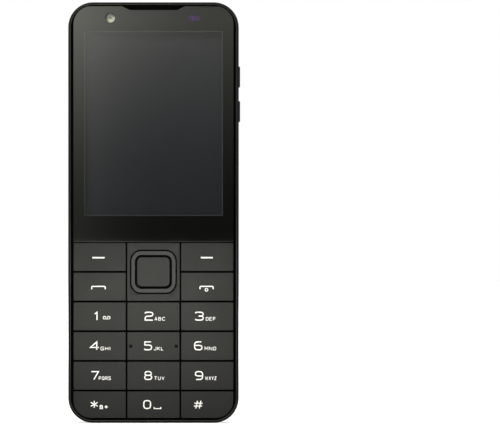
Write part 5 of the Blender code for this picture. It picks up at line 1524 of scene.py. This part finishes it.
def hidden_parts(sizes):
    """Finer materials for the nodes whose own shapes are fine enough."""
    repainted(board_finish(), "circuit_board")
    repainted(film_finish(), "dome_sheet", "side_key_flex")
    repainted(rubber_finish(), "keypad_mat")
    repainted(metal(sizes, "tray"), "lcd_tray")
    repainted(metal(sizes, "pin"), "card_door_pin")
    repainted(plastic(sizes, "light"), "lcd_backlight")
    repainted(plastic(sizes, "receiver"), "earpiece_receiver")
    repainted(plastic(sizes, "carrier"), "nav_ring_carrier")


# Stage, light and camera


def plane(name, corners, finish):
    shape = bmesh.new()
    shape.faces.new([shape.verts.new(corner) for corner in corners])
    item = mesh_piece(name, shape, outwards=False)
    item.data.materials.append(finish.material)
    return item


def card(name, low, high, y, finish):
    """An upright card before or behind the phone, facing it, which only glossy rays see."""
    (left, bottom), (right, top) = low, high
    corners = [(left, y, top), (right, y, top), (right, y, bottom)][:: -1 if y > 0 else 1]
    item = plane(name, [(left, y, bottom), *corners], finish)
    for ray in ("camera", "diffuse", "transmission", "shadow"):
        setattr(item, "visible_" + ray, False)


def floor_finish(look):
    """A pale floor, lifted to white for the camera, and more so where the lamps don't reach."""
    finish = Finish("floor_finish", look.floor_colour, 0.9)
    finish.vary(finish.noise(0.4), 0.004)
    seen = finish.start.node("ShaderNodeLightPath")
    x, y, _ = finish.axes()
    far = ((distance(x, y) - FLOOR_NEAR) / FLOOR_FADE).clipped()
    lift = seen * (look.floor_lift + far * (1 - look.floor_lift))
    return finish.glow(lift, WHITE, 1.0)


def card_finish(look):
    """A glow for the glass to mirror, bright at the upper left, and a second one for the keys."""
    finish = Finish("card_finish", BLACK, 1.0)
    x, _, z = finish.axes()
    left = 1 - ((x + SIDE_X) / (2 * SIDE_X)).clipped()
    rise = ((z - WINDOW.low.z) / WINDOW.height).clipped() ** look.card_curve
    share = left ** (look.card_side_curve + (1 - rise) * look.card_foot_curve)
    bright = look.card_low_left + rise * (look.card_high_left - look.card_low_left)
    dim = look.card_low_right + rise * (look.card_high_right - look.card_low_right)
    strength = dim + (bright - dim) * share
    across = x / SIDE_X
    top = ((z - CARD_KEYS_TOP) / (CARD_SPLIT - CARD_KEYS_TOP)).clipped()
    level = CARD_KEYS_LEVEL + across * across * CARD_KEYS_SIDES + top * CARD_KEYS_UPPER
    keys = look.card_keys_right + left * (look.card_keys_left - look.card_keys_right)
    keys = keys * ((z - look.card_keys_foot) / CARD_KEYS_FADE).clipped() * level
    split = z.above(CARD_SPLIT, MM)
    strength = strength * split + keys * (1 - split)
    return finish.glow(strength / look.card_high_left, look.card_colour, look.card_high_left)


def rear_card_finish(look):
    """A glow behind the phone for its flat back to mirror, brightest above the middle."""
    finish = Finish("rear_card_finish", BLACK, 1.0)
    x, _, z = finish.axes()
    over = (z - REAR_CARD_PEAK).largest(0) / REAR_CARD_RISE
    under = (REAR_CARD_PEAK - z).largest(0) / REAR_CARD_FALL
    side = x / REAR_CARD_HIGH[0]
    strength = (1 - over * over - under * under).largest(REAR_CARD_LEAST)
    strength = strength * (1 - side * REAR_CARD_TILT - side * side * REAR_CARD_SIDES)
    return finish.glow(strength * REAR_CARD_SHARE, WHITE, look.rear_card / REAR_CARD_SHARE)


def surroundings(look):
    """White for the camera, dim for dull surfaces, and lit from the sides for glossy ones."""
    world = bpy.data.worlds.new("studio")
    bpy.context.scene.world = world
    world.use_nodes = True
    tree = world.node_tree
    tree.nodes.clear()
    start = Wire(tree)
    rays = start.node("ShaderNodeLightPath")
    kinds = ("Is Camera Ray", "Is Transmission Ray", "Is Glossy Ray")
    seen, through, mirrored = rays.others(*kinds)
    seen = seen.largest(through)
    towards = start.node("ShaderNodeTexCoord", output="Generated")
    towards = start.node("ShaderNodeSeparateXYZ", inputs={"Vector": towards})
    sideways, up = towards.others("X", "Z")
    sides = abs(sideways).largest(up).above(SIDE_LIGHT_EDGE, SIDE_LIGHT_BLUR)
    glow = look.world_mirror + sides * look.world_side
    strength = look.world_fill + seen * (1 - look.world_fill) + mirrored * (glow - look.world_fill)
    glow = start.node("ShaderNodeBackground", inputs={"Color": strength.mixed(BLACK, WHITE)})
    output = tree.nodes.new("ShaderNodeOutputWorld")
    tree.links.new(glow.socket, output.inputs["Surface"])


def lamp(name, place, colour, power):
    """A square lamp that lights the middle of the phone and isn't seen itself."""
    light = bpy.data.lights.new(name, "AREA")
    light.shape = "RECTANGLE"
    light.size = light.size_y = LAMP_SIDE
    light.energy = power
    light.color = colour
    item = link_item(name, light)
    item.location = place
    item.rotation_mode = "QUATERNION"
    towards = Vector((0, 0, MIDDLE_Z)) - Vector(place)
    item.rotation_quaternion = towards.to_track_quat("-Z", "Y")
    item.visible_camera = False
    item.visible_glossy = False


def stage(look):
    sides = ((-1, -1), (1, -1), (1, 1), (-1, 1))
    corners = [(x * FLOOR_REACH, y * FLOOR_REACH, 0) for x, y in sides]
    plane("floor", corners, floor_finish(look)).visible_glossy = False
    card("mirror_card", CARD_LOW, CARD_HIGH, FRONT_Y - CARD_DISTANCE, card_finish(look))
    rear_y = BACK_Y + CARD_DISTANCE
    card("rear_mirror_card", REAR_CARD_LOW, REAR_CARD_HIGH, rear_y, rear_card_finish(look))
    surroundings(look)
    for name, place_and_colour in LAMPS.items():
        lamp(name, *place_and_colour, look.lamp_power)

    camera = link_item("camera", bpy.data.cameras.new("camera"))
    camera.location = CAMERA_PLACE
    camera.rotation_euler = (math.pi / 2, 0, 0)
    camera.data.lens = look.camera_lens
    camera.data.sensor_width = CAMERA_SENSOR
    camera.data.clip_end = CAMERA_FAR
    bpy.context.scene.camera = camera
    bpy.context.scene.view_settings.view_transform = "Standard"


# Add-on: settings, operators and panel


def length(name, description, value, low=0.0):
    return FloatProperty(
        name=name, description=description, default=value, min=low, unit="LENGTH", precision=5
    )


def colour(name, description, value):
    return FloatVectorProperty(
        name=name, description=description, default=value, size=3, subtype="COLOR", min=0, max=1
    )


def number(name, description, value, high=10.0):
    return FloatProperty(name=name, description=description, default=value, min=0, max=high)


class PhoneLooks(bpy.types.PropertyGroup):
    """Sizes and colours of the phone's visible pieces."""

    rim_round: length("Rim rounding", "Radius of the rim's outer edge", 0.62 * MM)
    rim_inner_round: length("Rim inner rounding", "Radius of the rim's inner edge", 0.2 * MM)
    glass_edge: length("Window edge", "Rounding of the window's edge", 0.09 * MM)
    key_edge: length("Key edge", "Rounding of the key caps' edges", 0.12 * MM)
    nav_edge: length("Navigation edge", "Rounding of the navigation keys' edges", 0.2 * MM)
    side_key_edge: length("Volume key edge", "Rounding of the volume keys' edges", 0.3 * MM)
    island_edge: length("Island edge", "Width of the camera island's rounded edge", 0.5 * MM)
    mesh_pitch: length("Mesh pitch", "Distance between the earpiece's wires", 0.3 * MM, 0.1 * MM)
    print_height: length("Print height", "How far the legends stand proud of the keys", 0.02 * MM)
    grain_depth: length("Grain depth", "Depth of the grain in the moulded plastic", 0.004 * MM)
    display_clearness: number("Display clearness", "Light that the glass lets through", 0.3, 1)
    display_gloss: number("Display gloss", "Extra gloss of the glass over the display", 0.35, 1)
    housing_colour: colour("Housing", "Colour of the front housing", (0.0085, 0.0085, 0.008))
    # The deck's colour is darker than the housing's: painted shade for the gaps between the keys
    deck_colour: colour("Deck", "Colour of the deck under the keys", (0.0025, 0.0025, 0.0023))
    cover_colour: colour("Rear cover", "Colour of the rear cover", (0.0022, 0.0022, 0.0022))
    key_colour: colour("Keys", "Colour of the key caps", (0.01, 0.01, 0.0096))
    nav_colour: colour("Navigation key", "Colour of the navigation key", (0.014, 0.014, 0.0132))
    nav_ring_colour: colour("Navigation ring", "Colour of the tilting ring", (0.032, 0.032, 0.0305))
    print_colour: colour("Window print", "Colour printed behind the window", (0.002, 0.002, 0.0017))
    # Painted reflection: the violet sheen of the front camera's coating, given as the window's
    # colour
    camera_tint: colour("Painted camera sheen", "Sheen over the front camera", (0.03, 0.012, 0.06))
    panel_colour: colour("Display", "Colour of the unlit display", (0.1, 0.11, 0.13))
    legend_colour: colour("Legends", "Colour of the signs on the keys", (0.8, 0.8, 0.75))
    front_lamp_colour: colour("Front lamp", "Colour of the front flash lens", (0.66, 0.7, 0.54))
    rear_lamp_colour: colour("Rear lamp", "Colour of the rear flash lens", (0.62, 0.62, 0.61))
    ring_colour: colour("Camera ring", "Colour of the ring round the camera lens", (0.6, 0.6, 0.6))
    island_colour: colour("Camera island", "Colour of the island's plate", (0.004, 0.004, 0.004))
    lens_colour: colour("Camera lens", "Colour of the lens behind the glass", (0.3, 0.3, 0.3))
    camera_glass_colour: colour("Camera glass", "Colour of its cover glass", (0.003, 0.003, 0.004))
    module_colour: colour("Modules", "Colour of moulded modules inside", (0.012, 0.012, 0.013))
    sheet_colour: colour("Sheet steel", "Colour of pressed steel parts", (0.5, 0.5, 0.51))
    screw_colour: colour("Screws", "Colour of the screws", (0.32, 0.32, 0.33))


class StageLooks(bpy.types.PropertyGroup):
    """Light, floor and camera."""

    lamp_power: FloatProperty(
        name="Lamp power", description="Power of the main lamp", default=62.0, min=0, unit="POWER"
    )
    camera_lens: FloatProperty(
        name="Lens", description="Focal length in millimetres", default=344.2, min=10, max=1000
    )
    world_fill: number("Fill light", "Light from all round on dull surfaces", 0.12)
    world_mirror: number("Mirrored surroundings", "Brightness that glossy surfaces mirror", 0.04)
    world_side: number("Side light", "Brightness mirrored from the sides and above", 0.22)
    floor_colour: colour("Floor", "Colour of the floor", (0.5, 0.5, 0.5))
    floor_lift: number("Floor lift", "Light added where the camera sees the floor", 0.55)
    card_colour: colour("Card colour", "Colour of the card's light", (1.0, 1.0, 0.9))
    card_curve: number("Card curve", "How late the card grows bright towards the top", 2.1)
    card_side_curve: number("Card side curve", "How fast the card grows dark to the right", 2.2)
    card_high_left: number("Card, high left", "Brightness of the card at its upper left", 3.0)
    card_high_right: number("Card, high right", "Brightness of the card at its upper right", 1.1)
    card_low_left: number("Card, low left", "Brightness of the card at its lower left", 0.35)
    card_low_right: number("Card, low right", "Brightness of the card at its lower right", 0.05)
    card_foot_curve: number("Card foot curve", "How much faster so at the display's foot", 2.0)
    card_keys_left: number("Card, keys left", "Brightness that the left keys mirror", 2.6)
    card_keys_right: number("Card, keys right", "Brightness that the right keys mirror", 1.8)
    card_keys_foot: FloatProperty(
        name="Card foot",
        description="Height below which the keys mirror nothing",
        default=-0.005,
        unit="LENGTH",
    )
    rear_card: number("Rear card", "Brightness of the card that the back mirrors", 4.3)


class Builds:
    """Runs an operator's functions with the scene's settings for them."""

    bl_options = {"REGISTER", "UNDO"}
    looks = "phone_looks"

    def execute(self, context):
        for make in self.makes:
            make(getattr(context.scene, self.looks))
        return {"FINISHED"}


class PHONE_OT_housing(Builds, bpy.types.Operator):
    """Builds the front housing with its rim, deck and holes"""

    bl_idname = "phone.housing"
    bl_label = "Front housing"
    makes = (front_housing,)


class PHONE_OT_window(Builds, bpy.types.Operator):
    """Builds the window, the display behind it and the earpiece mesh"""

    bl_idname = "phone.window"
    bl_label = "Window and display"
    makes = (display_window, display_panel, earpiece)


class PHONE_OT_front_camera(Builds, bpy.types.Operator):
    """Builds the front flash lamp and the front camera"""

    bl_idname = "phone.front_camera"
    bl_label = "Front lamp and camera"
    makes = (front_lamp, front_camera)


class PHONE_OT_keys(Builds, bpy.types.Operator):
    """Builds the number keys, soft keys, call key and end key"""

    bl_idname = "phone.keys"
    bl_label = "Keys"
    makes = (plain_keys,)


class PHONE_OT_navigation(Builds, bpy.types.Operator):
    """Builds the navigation surround, ring and key"""

    bl_idname = "phone.navigation"
    bl_label = "Navigation keys"
    makes = (navigation_keys,)


class PHONE_OT_legends(Builds, bpy.types.Operator):
    """Prints the legends on the keys"""

    bl_idname = "phone.legends"
    bl_label = "Legends"
    makes = (legends,)


class PHONE_OT_side_keys(Builds, bpy.types.Operator):
    """Builds the two volume keys"""

    bl_idname = "phone.side_keys"
    bl_label = "Volume keys"
    makes = (volume_keys,)


class PHONE_OT_cover(Builds, bpy.types.Operator):
    """Builds the rear cover and its card door"""

    bl_idname = "phone.cover"
    bl_label = "Rear cover and card door"
    makes = (back_cover, card_door)


class PHONE_OT_rear_camera(Builds, bpy.types.Operator):
    """Builds the camera island, ring, lens and rear flash lamp"""

    bl_idname = "phone.rear_camera"
    bl_label = "Rear camera and lamp"
    makes = (camera_island, camera_lens, rear_lamp)


class PHONE_OT_socket(Builds, bpy.types.Operator):
    """Builds the charging socket with its tongue and contacts"""

    bl_idname = "phone.socket"
    bl_label = "Charging socket"
    makes = (usb_socket,)


class PHONE_OT_frame(Builds, bpy.types.Operator):
    """Builds the rear frame and its screws"""

    bl_idname = "phone.frame"
    bl_label = "Rear frame and screws"
    makes = (rear_frame, frame_screws)


class PHONE_OT_battery(Builds, bpy.types.Operator):
    """Builds the battery and its connector"""

    bl_idname = "phone.battery"
    bl_label = "Battery"
    makes = (battery,)


class PHONE_OT_inner(Builds, bpy.types.Operator):
    """Builds the loudspeaker, microphone, motor, holders and shield, and finishes hidden parts"""

    bl_idname = "phone.inner"
    bl_label = "Inner parts"
    makes = (loudspeaker, motor_and_microphone, holders, hidden_parts)


class PHONE_OT_stage(Builds, bpy.types.Operator):
    """Sets up the floor, the lights and the camera"""

    bl_idname = "phone.stage"
    bl_label = "Stage"
    looks = "phone_stage"
    makes = (stage,)


OPERATORS = (
    PHONE_OT_housing,
    PHONE_OT_window,
    PHONE_OT_front_camera,
    PHONE_OT_keys,
    PHONE_OT_navigation,
    PHONE_OT_legends,
    PHONE_OT_side_keys,
    PHONE_OT_cover,
    PHONE_OT_rear_camera,
    PHONE_OT_socket,
    PHONE_OT_frame,
    PHONE_OT_battery,
    PHONE_OT_inner,
    PHONE_OT_stage,
)


class PHONE_PT_panel(bpy.types.Panel):
    """Lists the steps that build the phone"""

    bl_idname = "PHONE_PT_panel"
    bl_label = "Keypad phone"
    bl_space_type = "VIEW_3D"
    bl_region_type = "UI"
    bl_category = "Phone"

    def draw(self, context):
        for operator in OPERATORS:
            self.layout.operator(operator.bl_idname)


CLASSES = (PhoneLooks, StageLooks, *OPERATORS, PHONE_PT_panel)


def register():
    for made in CLASSES:
        bpy.utils.register_class(made)
    bpy.types.Scene.phone_looks = PointerProperty(type=PhoneLooks)
    bpy.types.Scene.phone_stage = PointerProperty(type=StageLooks)


def unregister():
    del bpy.types.Scene.phone_looks
    del bpy.types.Scene.phone_stage
    for made in reversed(CLASSES):
        bpy.utils.unregister_class(made)


def main():
    register()
    for operator in OPERATORS:
        getattr(bpy.ops.phone, operator.bl_idname.split(".")[1])()


if __name__ == "__main__":
    main()
